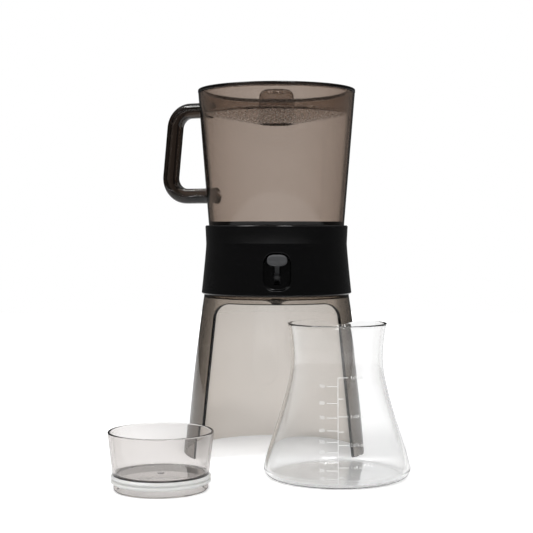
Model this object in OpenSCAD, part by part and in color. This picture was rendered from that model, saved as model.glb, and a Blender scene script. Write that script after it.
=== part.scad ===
// Cold brew coffee maker: a smoked container in a black collar with a flip switch, on an
// open-fronted stand, with its glass carafe and the carafe's stopper cup beside it.
// Millimetres, +Z up. The origin is on the table, on the brewer's axis, and the switch faces -Y.

/* [Stand] */
// Height of the shoulder that the collar sits on
stand_h = 168; // [160:0.5:190]
// Outer radius of the stand at the table
stand_foot_r = 95.5; // [92:0.5:105]
// Outer radius of the stand at its shoulder
stand_top_r = 77; // [76:0.5:82]
// How far the stand's side bows out between foot and shoulder
stand_bow = 1.8; // [0:0.1:4]
// Wall of the stand
stand_wall = 3.2; // [2.4:0.1:4]
// Height of the deck above the shoulder
deck_rise = 4; // [3:0.5:4.5]
// Outer radius of the raised deck
deck_r = 71.5; // [68:0.5:72.5]
// Thickness of the deck
deck_t = 3; // [2.5:0.1:3.5]
// Height of the arch's crown below the shoulder
arch_drop = 8; // [6:0.5:20]
// Width of the arch at the table
arch_foot_w = 154.6; // [150:0.5:160]
// Width of the arch at its crown
arch_top_w = 121.8; // [100:0.5:128]
// Corner radius of the arch's crown
arch_corner_r = 16; // [8:1:24]

/* [Container] */
// Height of the container's underside above the shoulder
container_rise = 48; // [48:0.5:54]
// Height of the container from its underside to its rim
container_h = 165.5; // [150:0.5:200]
// Outer radius of the container at its rim
container_rim_r = 83.3; // [82.5:0.1:90]
// Outer radius of the container at its underside
container_floor_r = 70.1; // [69.5:0.1:72]
// Wall of the container
container_wall = 3; // [2:0.1:3.5]
// Thickness of the container's floor
container_floor_t = 3; // [2.5:0.1:4]
// Height of the filter's ledge above the floor
ledge_rise = 14; // [12.5:0.5:14]
// How far the filter's ledge stands in from the wall
ledge_w = 5.5; // [3:0.5:8]
// Radius of the drain's bore
drain_r = 7.5; // [6.5:0.1:9]
// Wall of the drain tube
drain_wall = 2.5; // [1.5:0.1:3]
// Length of the drain tube below the floor
drain_l = 17; // [15:0.5:18.5]
// Width of the three ribs that hold the stem's guide ring in the drain
guide_rib_w = 1.2; // [1:0.1:2]
// Wall of the stem's guide ring
guide_wall = 1.6; // [1:0.1:2.2]
// Height of the stem's guide ring
guide_h = 4; // [2:0.5:8]
// Radius of the screw posts under the floor
post_r = 4.5; // [3.5:0.1:6]
// Distance of the screw posts from the axis
post_ring_r = 60; // [52:0.5:62]

/* [Handle] */
// How far the handle is turned back from the left side, in degrees
handle_turn = 23.8; // [0:0.1:60]
// Height of the upper arm below the container's rim
handle_top_drop = 15; // [11:0.5:25]
// Height of the lower arm above the container's underside
handle_foot_rise = 57; // [40:1:75]
// Distance of the grip from the axis at its upper end
handle_top_reach = 119.5; // [112:0.5:130]
// Distance of the grip from the axis at its lower end
handle_foot_reach = 129; // [118:0.5:140]
// Bend radius of the handle's centre line
handle_bend_r = 20; // [12:0.5:22]
// Width of the handle's outer half
handle_w = 20; // [14:0.5:26]
// Thickness of the handle
handle_t = 16; // [12:0.5:18]
// Width of the handle's inner rib
handle_rib_w = 12; // [6:0.5:14]

/* [Collar] */
// Height of the collar's top edge above the shoulder
collar_h = 72.8; // [70:0.1:76]
// Outer radius of the collar at its foot
collar_foot_r = 80; // [79:0.1:84]
// Outer radius of the collar at its waist
collar_waist_r = 75.1; // [74.8:0.1:77]
// Height of the waist above the shoulder
collar_waist_h = 54; // [50:0.5:60]
// Outer radius of the collar at its top edge
collar_top_r = 76; // [75.6:0.1:79]
// Wall of the collar
collar_wall = 2.6; // [2:0.1:2.6]
// Height and depth of the bevel under the collar
collar_bevel = 1; // [0.6:0.1:2.6]
// Rounding of the collar's top edge
collar_edge_r = 1.5; // [0.5:0.1:2]
// Thickness of the collar's lip round the container
collar_lip_t = 2.5; // [1.5:0.1:3]
// Inner radius of the ledge that the posts clamp to the base pan
clamp_ledge_r = 54; // [44:0.5:55]
// Thickness of that ledge
clamp_ledge_t = 2; // [1.5:0.1:3]

/* [Switch recess] */
// Width of the recess
recess_w = 28; // [26:0.5:32]
// Height of the recess
recess_h = 38.5; // [37:0.5:39]
// Height of the recess's lower edge above the shoulder
recess_rise = 6.4; // [6.1:0.1:6.6]
// Corner radius of the recess
recess_corner_r = 11; // [5:0.5:13.5]
// Distance of the recess's back face from the axis
recess_back = 65.4; // [65.2:0.1:67]
// Wall of the recess
recess_wall = 1.8; // [1.2:0.1:2]
// Width of the slot in the recess's back
slot_w = 7; // [6:0.5:8]
// Height of the slot
slot_h = 24; // [22:0.5:25]
// Height of the slot's lower end above the recess's lower edge
slot_rise = 5.5; // [3:0.5:7]

/* [Base pan] */
// Radius of the base pan
pan_r = 74; // [73.6:0.1:74.2]
// Thickness of the base pan
pan_t = 4.5; // [4:0.1:4.7]
// Thickness of each pin ear
ear_t = 3; // [2:0.1:4]
// Radius of the ears round the pin
ear_r = 4.5; // [3.5:0.1:5]

/* [Screws] */
// Radius of the screws' shanks
screw_r = 1.5; // [1:0.1:2]
// Radius of the screws' heads
screw_head_r = 3.2; // [2.5:0.1:3.8]
// Height of the screws' heads
screw_head_t = 2; // [1.5:0.1:2.2]
// Length of the screws under their heads
screw_l = 16; // [10:0.5:30]

/* [Spout] */
// Outer radius of the spout's bowl
bowl_r = 17; // [14:0.5:19]
// Wall of the spout's bowl
bowl_wall = 2; // [1.5:0.1:2.5]
// Height of the bowl's rim above the base pan
bowl_rim_rise = 3.1; // [2:0.1:3.3]
// Width of the flange that rests on the base pan
bowl_flange_w = 4; // [2.5:0.1:6]
// Thickness of the flange
bowl_flange_t = 1.8; // [1:0.1:1.9]
// Depth of the spout's tip below the shoulder
tip_drop = 11.7; // [10:0.1:14]
// Outer radius of the spout's tip
tip_r = 4.8; // [4.5:0.1:6]
// Radius of the outlet's bore
outlet_r = 3.4; // [2.5:0.1:3.6]

/* [Switch] */
// Distance of the lever's pin from the axis
pivot_y = 56; // [55.5:0.1:56.4]
// Height of the lever's pin above the shoulder
pivot_rise = 20; // [19.7:0.1:20.4]
// Radius of the lever's pin
pin_r = 1.5; // [1:0.1:1.8]
// Radius of the lever's hub
hub_r = 5; // [4:0.1:5.4]
// Radius of the hub's side bosses
hub_boss_r = 3.2; // [2.8:0.1:4]
// Width of the hub across its side bosses
hub_w = 12.8; // [12.6:0.1:14]
// Width of the lever's stem
stem_w = 5; // [4:0.1:5.6]
// Thickness of the lever's stem
stem_t = 4.4; // [3:0.1:5]
// Angle of the stem above level at rest, in degrees
stem_angle = 41.4; // [38:0.1:44]
// Length of the lever's stem
stem_l = 24; // [22:0.1:24.5]
// Turn of the switch from closed to open, in degrees
flip_angle = 50; // [40:1:50]
// Width of the finger paddle
paddle_w = 20.6; // [16:0.1:22]
// Height of the finger paddle
paddle_h = 11.9; // [10:0.1:12.4]
// Depth of the finger paddle
paddle_d = 7; // [6:0.1:8]
// Rounding of the paddle's face
paddle_round = 2; // [1:0.1:3]
// Throw of the crank
crank_l = 8; // [6:0.1:8.2]
// Radius of the crank's end
crank_end_r = 3.2; // [2.8:0.1:3.4]

/* [Valve] */
// Height of the lift bar
bar_h = 8; // [7:0.1:8]
// Width of each of the fork's tines
tine_w = 3; // [2.5:0.1:3.2]
// Width of the bar behind its fork
bar_w = 6.4; // [5:0.1:8]
// Radius of the bar's hub
bar_hub_r = 6; // [4.5:0.1:7]
// Radius of the valve's stem
valve_stem_r = 2.5; // [2:0.1:3]
// Radius of the foot and the clip that hold the bar on the stem
stem_foot_r = 4; // [3.5:0.1:5]
// Thickness of the foot
stem_foot_t = 1.5; // [1:0.1:2]
// Thickness of the clip
clip_t = 1; // [0.8:0.1:1.4]
// Depth of the clip's groove
clip_groove = 0.5; // [0.3:0.1:0.7]
// Radius of the valve's plug
plug_r = 11; // [10.5:0.1:14]
// Height of the valve's plug
plug_h = 6; // [5:0.1:6.8]
// Depth of the stem in the plug
plug_socket = 3; // [2:0.1:4]

/* [Filter] */
// Height of the filter's frame
filter_h = 11.5; // [5:0.1:14]
// Width of the frame's rim
filter_rim_w = 7; // [5:0.1:9]
// Width of the frame's spokes
spoke_w = 2; // [1.5:0.1:3]
// Height of the frame's spokes
spoke_h = 2; // [1:0.1:2.5]
// Number of spokes
spokes = 6; // [3:1:8]
// Radius of the frame's hub
filter_hub_r = 8; // [5:0.5:12]
// Thickness of the mesh
mesh_t = 0.5; // [0.3:0.1:0.8]
// Height of the filter's silicone ring
filter_seal_h = 2.5; // [1.5:0.1:3]
// Depth of the ring's groove
filter_groove = 1.4; // [0.8:0.1:2]

/* [Rainmaker] */
// How far the flange stands out past the container's rim
flange_over = 0.3; // [0:0.1:1]
// Thickness of the flange
flange_t = 3.5; // [2.5:0.1:5]
// Wall of the rainmaker
dish_wall = 2.4; // [1.6:0.1:3]
// Depth of the dish's floor at its edge, below the flange's top
dish_depth = 24.2; // [16:0.1:30]
// Outer radius of the dish where its side meets its floor
dish_floor_r = 75.5; // [73:0.1:77]
// Slope of the floor towards the knob, in degrees
dish_slope = 10.6; // [4:0.1:14]
// Outer radius of the knob at its foot
knob_foot_r = 19.5; // [16:0.1:21]
// Outer radius of the knob below its round top
knob_top_r = 18.2; // [15:0.1:19]
// Height of the knob's top above the flange's top
knob_rise = 0.7; // [0:0.1:8]
// Rounding of the knob's top
knob_round = 7; // [4:0.5:10]
// Radius of the drip holes
drip_r = 0.8; // [0.5:0.1:1.2]
// Number of rings of drip holes
drip_rings = 8; // [1:1:8]
// Number of drip holes in each ring
drip_count = 33; // [8:1:40]
// Radius of the innermost ring
drip_ring_r = 24.6; // [23:0.1:26]
// Distance between rings
drip_pitch = 5.92; // [5:0.01:6]

/* [Carafe] */
// Distance of the carafe to the right of the brewer's axis
carafe_x = 57; // [55:1:90]
// Distance of the carafe in front of the brewer's axis
carafe_y = 139; // [139:1:170]
// Height of the carafe
carafe_h = 147.3; // [140:0.1:150]
// Widest outer radius of the carafe
carafe_r = 70.4; // [66:0.1:71]
// Height of the widest place
carafe_belly_h = 9; // [7:0.5:12]
// Outer radius of the carafe's neck
carafe_neck_r = 43.8; // [43:0.1:46]
// Height of the neck's narrowest place
carafe_neck_h = 114; // [104:0.5:120]
// Outer radius of the carafe's rim
carafe_rim_r = 47.8; // [47:0.1:50]
// Wall of the carafe
glass_wall = 2.4; // [1.8:0.1:2.8]
// Thickness of the carafe's base
glass_base_t = 3; // [2.4:0.1:5]
// Depth of the pour lip's dip below the rim
lip_dip = 8; // [3:0.5:12]
// Width of the pour lip at the rim
lip_w = 32; // [20:1:36]

/* [Stopper] */
// Distance of the stopper to the left of the brewer's axis
stopper_x = 107; // [105:1:140]
// Distance of the stopper in front of the brewer's axis
stopper_y = 200; // [195:1:230]
// Height of the stopper cup
stopper_h = 53.4; // [44:0.1:60]
// Outer radius of the cup's rim
stopper_rim_r = 48.4; // [45:0.1:52]
// Outer radius of the cup just above its silicone ring
stopper_waist_r = 44.2; // [43.9:0.1:45]
// Outer radius of the skirt under the ring
stopper_skirt_r = 42.5; // [42.2:0.1:43]
// Wall of the stopper cup
stopper_wall = 2.2; // [1.6:0.1:2.6]
// Height of the cup's inner floor
stopper_floor_h = 15; // [14:0.1:17]
// Radius of the silicone ring over its lips
seal_lip_r = 44.6; // [44:0.1:46]
// Height of the silicone ring
seal_h = 9.6; // [7:0.1:9.8]
// Depth of the ring's groove in the skirt
seal_groove = 0.6; // [0.3:0.1:0.9]

/* [Fits] */
// Clearance of a pin that turns in its bore
run_gap = 0.06; // [0.03:0.01:0.1]
// Clearance of a stem that slides in its guide
slide_gap = 0.1; // [0.05:0.01:0.2]
// Clearance between pieces that pass each other
pass_gap = 0.3; // [0.2:0.05:0.5]
// Clearance of the stand's hole round the spout
spout_gap = 1.5; // [1:0.1:3]
// Travel of a lever or bar past its neighbours
room = 0.5; // [0.4:0.1:0.6]

/* [Hidden] */
$fn = 96;

// Colours
smoke = [0.36, 0.31, 0.27, 0.6];
clear_smoke = [0.80, 0.79, 0.78, 0.4];
glass = [0.85, 0.88, 0.88, 0.35];
gloss_black = [0.03, 0.03, 0.035];
soft_grey = [0.20, 0.20, 0.21];
steel = [0.72, 0.72, 0.72];
silicone = [0.90, 0.90, 0.88];
grey_plastic = [0.45, 0.45, 0.46];

// Extra length of a cutter past the face that it cuts
cut = 1;
// Steps of an arc in an outline
arc_steps = 8;
// Steps of the bowed and curved outlines
curve_steps = 14;

function mix(a, b, t) = a + (b - a) * t;
function bezier3(a, b, c, t) = a * (1 - t) ^ 2 + b * 2 * t * (1 - t) + c * t ^ 2;
function bezier4(a, b, c, d, t) =
  a * (1 - t) ^ 3 + b * 3 * t * (1 - t) ^ 2 + c * 3 * t ^ 2 * (1 - t) + d * t ^ 3;
function arc(centre, r, from, to) =
  [for (i = [0:arc_steps]) centre + r * [cos(mix(from, to, i / arc_steps)), sin(mix(from, to, i / arc_steps))]];
function inward(points, by) = [for (p = points) [p[0] - by, p[1]]];
function reversed(points) = [for (i = [len(points) - 1:-1:0]) points[i]];

// A round wall with a bore, standing on height z
module ring(r_out, r_in, z, h) {
  translate([0, 0, z])
    difference() {
      cylinder(r = r_out, h = h);
      translate([0, 0, -cut])
        cylinder(r = r_in, h = h + 2 * cut);
    }
}

// A round bar along X, centred on x = 0
module x_bar(r, w) {
  rotate([0, 90, 0])
    cylinder(r = r, h = w, center = true);
}

// A block centred on x = 0 that runs back from y0 to y1 and up from z0 to z1
module block(w, y0, y1, z0, z1) {
  translate([-w / 2, y0, z0])
    cube([w, y1 - y0, z1 - z0]);
}

// ---- Stand

deck_z = stand_h + deck_rise;
stand_hole_r = bowl_r + spout_gap;
inner_shoulder_z = stand_h - stand_wall;

function stand_r(z) =
  let (t = z / stand_h)
  mix(stand_foot_r, stand_top_r, t) + 4 * stand_bow * t * (1 - t);

stand_outer = [for (i = [0:curve_steps]) let (z = stand_h * i / curve_steps) [stand_r(z), z]];
stand_inner = [
  for (i = [0:curve_steps])
    let (z = inner_shoulder_z * i / curve_steps)
    [stand_r(z) - stand_wall, z]
];
deck_outline = [
  [deck_r, stand_h],
  [deck_r, deck_z],
  [stand_hole_r, deck_z],
  [stand_hole_r, deck_z - deck_t],
  [deck_r - deck_t, deck_z - deck_t],
  [deck_r - deck_t, inner_shoulder_z]
];

arch_crown_z = stand_h - arch_drop;
arch_lean = (arch_foot_w - arch_top_w) / 2 / arch_crown_z;
arch_lean_angle = atan(arch_lean);
arch_corner = [
  arch_top_w / 2 + arch_corner_r * arch_lean - arch_corner_r * sqrt(1 + arch_lean ^ 2),
  arch_crown_z - arch_corner_r
];
arch_half = concat([[arch_foot_w / 2 + cut * arch_lean, -cut]], arc(arch_corner, arch_corner_r, arch_lean_angle, 90));
arch_outline = concat(arch_half, [for (p = reversed(arch_half)) [-p[0], p[1]]]);

module stand_shell() {
  color(smoke)
    difference() {
      rotate_extrude()
        polygon(concat(stand_outer, deck_outline, reversed(stand_inner)));
      rotate([90, 0, 0])
        linear_extrude(stand_foot_r + cut)
          polygon(arch_outline);
    }
}

// ---- Container

container_z = stand_h + container_rise;
container_rim_z = container_z + container_h;
floor_z = container_z + container_floor_t;
filter_z = floor_z + ledge_rise;
drain_z = container_z - drain_l;
pan_z = deck_z;
pan_top_z = pan_z + pan_t;
clamp_z = pan_top_z + clamp_ledge_t;
screw_seat_z = pan_z + screw_head_t + pass_gap;
screw_hole_h = screw_l - (clamp_z - screw_seat_z) + 2 * cut;
guide_r = valve_stem_r + slide_gap;
post_angles = [45, 135, 225, 315];

function container_r(z) = mix(container_floor_r, container_rim_r, (z - container_z) / container_h);
function container_in_r(z) = container_r(z) - container_wall;

container_outline = [
  [drain_r, container_z],
  [container_floor_r, container_z],
  [container_rim_r, container_rim_z],
  [container_rim_r - container_wall, container_rim_z],
  [container_in_r(filter_z), filter_z],
  [container_in_r(filter_z) - ledge_w, filter_z],
  [container_in_r(filter_z) - ledge_w, filter_z - ledge_w / 2],
  [container_in_r(filter_z - ledge_w), filter_z - ledge_w * 1.4],
  [container_in_r(floor_z), floor_z],
  [drain_r, floor_z]
];

module on_posts() {
  for (a = post_angles)
    rotate(a)
      translate([post_ring_r, 0, 0])
        children();
}

module container() {
  color(smoke) {
    difference() {
      union() {
        rotate_extrude()
          polygon(container_outline);
        ring(drain_r + drain_wall, drain_r, drain_z, container_z - drain_z + container_floor_t / 2);
        on_posts()
          translate([0, 0, clamp_z])
            cylinder(r = post_r, h = container_z - clamp_z + container_floor_t / 2);
        stem_guide();
      }
      on_posts()
        translate([0, 0, clamp_z - cut])
          cylinder(r = screw_r, h = screw_hole_h + cut);
    }
  }
}

// The ring that keeps the valve's stem upright, on three ribs in the drain tube
module stem_guide() {
  ring(guide_r + guide_wall, guide_r, drain_z, guide_h);
  for (a = [90:120:330])
    rotate(a)
      translate([guide_r + guide_wall / 2, -guide_rib_w / 2, drain_z])
        cube([drain_r - guide_r - guide_wall / 2 + drain_wall / 2, guide_rib_w, guide_h]);
}

// ---- Handle: a T-shaped section carried round a D, with its ends welded into the wall

weld_depth = container_wall / 2;
handle_top_z = container_rim_z - handle_top_drop;
handle_foot_z = container_z + handle_foot_rise;
grip_lean = atan((handle_foot_reach - handle_top_reach) / (handle_top_z - handle_foot_z));
handle_bends = [
  [handle_bend_r, 90, grip_lean, handle_top_reach, handle_top_z],
  [handle_bend_r, grip_lean, -90, handle_foot_reach, handle_foot_z]
];

// Distance from a bend's corner back to where its arc starts
function bend_run(turn) = handle_bend_r * tan(turn / 2);
function grip_reach(z) = mix(handle_foot_reach, handle_top_reach, (z - handle_foot_z) / (handle_top_z - handle_foot_z));

top_turn = 90 - grip_lean;
foot_turn = 90 + grip_lean;
top_bend = [handle_top_reach - bend_run(top_turn), handle_top_z - handle_bend_r];
foot_bend = [handle_foot_reach - bend_run(foot_turn), handle_foot_z + handle_bend_r];

// Each station of the handle's centre line: reach, height and the section's outward angle
handle_path = concat(
  [[container_r(handle_top_z) - weld_depth, handle_top_z, 90]],
  [for (i = [0:arc_steps]) let (a = mix(90, grip_lean, i / arc_steps))
    [top_bend[0] + handle_bend_r * cos(a), top_bend[1] + handle_bend_r * sin(a), a]],
  [for (i = [0:arc_steps]) let (a = mix(grip_lean, -90, i / arc_steps))
    [foot_bend[0] + handle_bend_r * cos(a), foot_bend[1] + handle_bend_r * sin(a), a]],
  [[container_r(handle_foot_z) - weld_depth, handle_foot_z, -90]]
);

// Half of the section, from its outer crown to its inner crown: outward offset and width
handle_half = [
  [handle_t / 2, handle_w * 0.14],
  [handle_t * 0.45, handle_w * 0.30],
  [handle_t * 0.32, handle_w * 0.43],
  [handle_t * 0.12, handle_w * 0.50],
  [handle_t * 0.02, handle_w * 0.48],
  [0, handle_rib_w * 0.54],
  [-handle_t * 0.12, handle_rib_w * 0.50],
  [-handle_t * 0.38, handle_rib_w * 0.46],
  [-handle_t / 2, handle_rib_w * 0.26]
];
handle_section = concat(handle_half, [for (p = reversed(handle_half)) [p[0], -p[1]]]);

module handle() {
  sides = len(handle_section);
  last = len(handle_path) - 1;
  points = [
    for (s = handle_path, p = handle_section)
      [-(s[0] + p[0] * cos(s[2])), p[1], s[1] + p[0] * sin(s[2])]
  ];
  walls = [
    for (k = [0:last - 1], i = [0:sides - 1])
      let (a = k * sides + i, b = k * sides + (i + 1) % sides)
      each [[a, b + sides, b], [a, a + sides, b + sides]]
  ];
  ends = [[for (i = [0:sides - 1]) i], [for (i = [sides - 1:-1:0]) last * sides + i]];
  color(smoke)
    rotate(-handle_turn)
      polyhedron(points, concat(walls, ends));
}

// ---- Collar

collar_z = stand_h + pass_gap;
collar_top_z = stand_h + collar_h;
collar_foot = [collar_foot_r, collar_z + collar_bevel];
collar_waist = [collar_waist_r, stand_h + collar_waist_h];
collar_pull = [collar_waist_r, stand_h + collar_waist_h - 7];
collar_side = [for (i = [0:curve_steps]) bezier3(collar_foot, collar_pull, collar_waist, i / curve_steps)];
collar_outer = concat(
  [[collar_foot_r - collar_bevel * 1.4, collar_z]],
  collar_side,
  arc([collar_top_r - collar_edge_r, collar_top_z - collar_edge_r], collar_edge_r, 10, 90)
);
collar_inner = concat(
  [[container_r(collar_top_z) + pass_gap, collar_top_z]],
  [[container_r(collar_top_z) + pass_gap, collar_top_z - collar_lip_t]],
  inward([[collar_top_r, collar_top_z - collar_lip_t]], collar_wall),
  reversed(inward(collar_side, collar_wall)),
  [[collar_foot_r - collar_bevel * 1.4 - collar_wall, collar_z]]
);

recess_z = stand_h + recess_rise;
recess_mid_z = recess_z + recess_h / 2;
pocket_back = recess_back - recess_wall;
slot_z = recess_z + slot_rise;

// A rounded rectangle as an outline, centred on the origin
function round_outline(w, h, r) = concat(
  arc([w / 2 - r, h / 2 - r], r, 0, 90),
  arc([r - w / 2, h / 2 - r], r, 90, 180),
  arc([r - w / 2, r - h / 2], r, 180, 270),
  arc([w / 2 - r, r - h / 2], r, 270, 360)
);

// The recess's outline, grown by a wall, run from near to far in front of the axis
module recess_prism(grow, near, far) {
  translate([0, -near, recess_mid_z])
    rotate([90, 0, 0])
      linear_extrude(far - near)
        polygon(round_outline(recess_w + 2 * grow, recess_h + 2 * grow, recess_corner_r + grow));
}

module band_cover() {
  color(gloss_black)
    difference() {
      union() {
        rotate_extrude()
          polygon(concat(collar_outer, collar_inner));
        difference() {
          ring(collar_foot_r - collar_wall, clamp_ledge_r, pan_top_z, clamp_ledge_t);
          block(recess_w + 2 * recess_wall, -collar_foot_r, -clamp_ledge_r / 2, pan_top_z - cut, clamp_z + cut);
        }
        intersection() {
          recess_prism(recess_wall, pocket_back, collar_foot_r);
          rotate_extrude()
            polygon(concat([[0, collar_z]], collar_outer, [[0, collar_top_z]]));
        }
      }
      recess_prism(0, recess_back, collar_foot_r + cut);
      block(slot_w, -recess_back - cut, -pocket_back + cut, slot_z, slot_z + slot_h);
      on_posts()
        translate([0, 0, pan_top_z - cut])
          cylinder(r = screw_r + pass_gap, h = clamp_ledge_t + 2 * cut);
    }
}

// ---- Base pan

pivot_z = stand_h + pivot_rise;
ear_x = hub_w / 2 + slide_gap;

module base_pan() {
  color(gloss_black)
    difference() {
      union() {
        ring(pan_r, bowl_r + slide_gap, pan_z, pan_t);
        for (side = [-1, 1])
          translate([side * (ear_x + ear_t / 2), 0, 0]) {
            block(ear_t, -pivot_y - ear_r, -pivot_y + ear_r, pan_z + pan_t / 2, pivot_z);
            translate([0, -pivot_y, pivot_z])
              x_bar(ear_r, ear_t);
          }
      }
      block(recess_w + 2 * (recess_wall + pass_gap), -pan_r - cut, -pocket_back + pass_gap, pan_z - cut, pan_top_z + cut);
      translate([0, -pivot_y, pivot_z])
        x_bar(pin_r, 2 * (ear_x + ear_t + cut));
      on_posts() {
        translate([0, 0, pan_z - cut])
          cylinder(r = screw_r + pass_gap, h = pan_t + 2 * cut);
        translate([0, 0, pan_z - cut])
          cylinder(r = screw_head_r + pass_gap, h = screw_head_t + pass_gap + cut);
      }
    }
}

module base_screws() {
  color(steel)
    on_posts() {
      translate([0, 0, pan_z + pass_gap])
        cylinder(r = screw_head_r, h = screw_head_t);
      translate([0, 0, pan_z + pass_gap])
        cylinder(r = screw_r, h = screw_head_t + screw_l);
    }
}

// ---- Spout

tip_z = stand_h - tip_drop;
bowl_rim_z = pan_top_z + bowl_rim_rise;
bowl_knee_z = mix(tip_z, stand_h, 0.72);
bowl_in_r = bowl_r - bowl_wall;
spout_outline = [
  [bowl_in_r, bowl_rim_z],
  [bowl_r, bowl_rim_z],
  [bowl_r, pan_top_z + bowl_flange_t],
  [bowl_r + bowl_flange_w, pan_top_z + bowl_flange_t],
  [bowl_r + bowl_flange_w, pan_top_z],
  [bowl_r, pan_top_z],
  [bowl_r, bowl_knee_z],
  [mix(bowl_r, tip_r, 0.18), mix(bowl_knee_z, tip_z, 0.36)],
  [mix(bowl_r, tip_r, 0.70), mix(bowl_knee_z, tip_z, 0.72)],
  [mix(bowl_r, tip_r, 0.94), mix(bowl_knee_z, tip_z, 0.90)],
  [tip_r, tip_z],
  [outlet_r, tip_z],
  [outlet_r, tip_z + bowl_wall],
  [mix(bowl_in_r, outlet_r, 0.66), mix(bowl_knee_z, tip_z, 0.46)],
  [mix(bowl_in_r, outlet_r, 0.14), mix(bowl_knee_z, tip_z, 0.06)],
  [bowl_in_r, bowl_knee_z + bowl_wall]
];

module spout() {
  color(gloss_black)
    rotate_extrude()
      polygon(spout_outline);
}

// ---- Switch: the lever turns on its pin, and its crank lifts the valve's bar

crank_angle = flip_angle / 2;
crank_y = -pivot_y + crank_l * cos(crank_angle);
crank_z = pivot_z - crank_l * sin(crank_angle);
lift = 2 * crank_l * sin(crank_angle);
stem_reach = stem_l + 2;
paddle_y = -pivot_y - stem_reach * cos(stem_angle);
paddle_z = pivot_z + stem_reach * sin(stem_angle);

module at_pivot() {
  translate([0, -pivot_y, pivot_z])
    children();
}

// The stem's bar, grown by a clearance
module stem_bar(grow) {
  at_pivot()
    rotate([-stem_angle, 0, 0])
      block(stem_w + 2 * grow, -stem_l - grow, 0, -stem_t / 2 - grow, stem_t / 2 + grow);
}

module switch_lever() {
  color(soft_grey)
    difference() {
      union() {
        stem_bar(0);
        at_pivot() {
          x_bar(hub_r, stem_w);
          x_bar(hub_boss_r, hub_w);
          rotate([-crank_angle, 0, 0]) {
            block(stem_w, 0, crank_l, -crank_end_r, crank_end_r);
            translate([0, crank_l, 0])
              x_bar(crank_end_r, stem_w);
          }
        }
      }
      at_pivot()
        x_bar(pin_r + run_gap, hub_w + 2 * cut);
      translate([0, crank_y, crank_z])
        x_bar(pin_r, stem_w + 2 * cut);
    }
}

module switch_paddle() {
  color(soft_grey)
    difference() {
      translate([0, paddle_y + paddle_d / 2, paddle_z])
        rotate([90, 0, 0])
          hull() {
            linear_extrude(paddle_d - paddle_round)
              polygon(round_outline(paddle_w, paddle_h, paddle_h * 0.46));
            linear_extrude(paddle_d)
              polygon(round_outline(paddle_w - 2 * paddle_round, paddle_h - 2 * paddle_round, paddle_h * 0.3));
          }
      stem_bar(slide_gap);
    }
}

module lever_pin() {
  color(steel)
    at_pivot()
      x_bar(pin_r, 2 * (ear_x + ear_t));
}

tine_x = stem_w / 2 + pass_gap;
fork_w = 2 * (tine_x + tine_w);

module crank_pin() {
  color(steel)
    translate([0, crank_y, crank_z])
      x_bar(pin_r, fork_w);
}

// ---- Valve

bar_z = crank_z - bar_h / 2;
bar_top_z = bar_z + bar_h;
crank_back_y = -pivot_y + crank_l;
yoke_r = pin_r + slide_gap * 2;
fork_root_y = crank_back_y + crank_end_r + room;

module lift_bar() {
  color(grey_plastic)
    difference() {
      union() {
        block(fork_w, crank_y - yoke_r - tine_w * 0.6, fork_root_y + tine_w, bar_z, bar_top_z);
        block(bar_w, fork_root_y, -bar_hub_r / 2, bar_z, bar_top_z);
        translate([0, 0, bar_z])
          cylinder(r = bar_hub_r, h = bar_h);
      }
      block(2 * tine_x, crank_y - yoke_r - tine_w, fork_root_y, bar_z - cut, bar_top_z + cut);
      for (y = [crank_y, crank_back_y])
        translate([0, y, crank_z])
          x_bar(yoke_r, fork_w + 2 * cut);
      block(fork_w + 2 * cut, crank_y, crank_back_y, crank_z - yoke_r, crank_z + yoke_r);
      translate([0, 0, bar_z - cut])
        cylinder(r = valve_stem_r + slide_gap / 2, h = bar_h + 2 * cut);
    }
}

module valve_stem() {
  color(grey_plastic)
    difference() {
      union() {
        translate([0, 0, bar_z - stem_foot_t])
          cylinder(r = stem_foot_r, h = stem_foot_t);
        translate([0, 0, bar_z - stem_foot_t])
          cylinder(r = valve_stem_r, h = floor_z + plug_socket - bar_z + stem_foot_t);
      }
      ring(stem_foot_r, valve_stem_r - clip_groove, bar_top_z, clip_t);
    }
}

module stem_clip() {
  color(steel)
    ring(stem_foot_r, valve_stem_r - clip_groove, bar_top_z, clip_t);
}

module valve_plug() {
  color(silicone)
    rotate_extrude()
      polygon([
        [valve_stem_r, floor_z],
        [plug_r, floor_z],
        [plug_r, floor_z + plug_h * 0.35],
        [plug_r * 0.86, floor_z + plug_h * 0.68],
        [plug_r * 0.5, floor_z + plug_h * 0.94],
        [0, floor_z + plug_h],
        [0, floor_z + plug_socket],
        [valve_stem_r, floor_z + plug_socket]
      ]);
}

// ---- Filter

filter_r = container_in_r(filter_z) - 3 * pass_gap;
filter_in_r = filter_r - filter_rim_w;
groove_z = filter_z + (filter_h - filter_seal_h) / 2;
groove_r = filter_r - filter_groove;

module filter_frame() {
  color(gloss_black) {
    rotate_extrude()
      polygon([
        [filter_in_r, filter_z],
        [filter_r, filter_z],
        [filter_r, groove_z],
        [groove_r, groove_z],
        [groove_r, groove_z + filter_seal_h],
        [filter_r, groove_z + filter_seal_h],
        [filter_r, filter_z + filter_h],
        [filter_in_r, filter_z + filter_h]
      ]);
    translate([0, 0, filter_z])
      cylinder(r = filter_hub_r, h = spoke_h);
    for (k = [0:spokes - 1])
      rotate(k * 360 / spokes)
        translate([0, -spoke_w / 2, filter_z])
          cube([filter_in_r + filter_rim_w / 4, spoke_w, spoke_h]);
  }
}

module filter_mesh() {
  color(steel)
    translate([0, 0, filter_z + spoke_h])
      cylinder(r = filter_in_r, h = mesh_t);
}

module filter_seal() {
  color(silicone)
    ring(container_in_r(groove_z) - pass_gap, groove_r, groove_z, filter_seal_h);
}

// ---- Rainmaker

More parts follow.
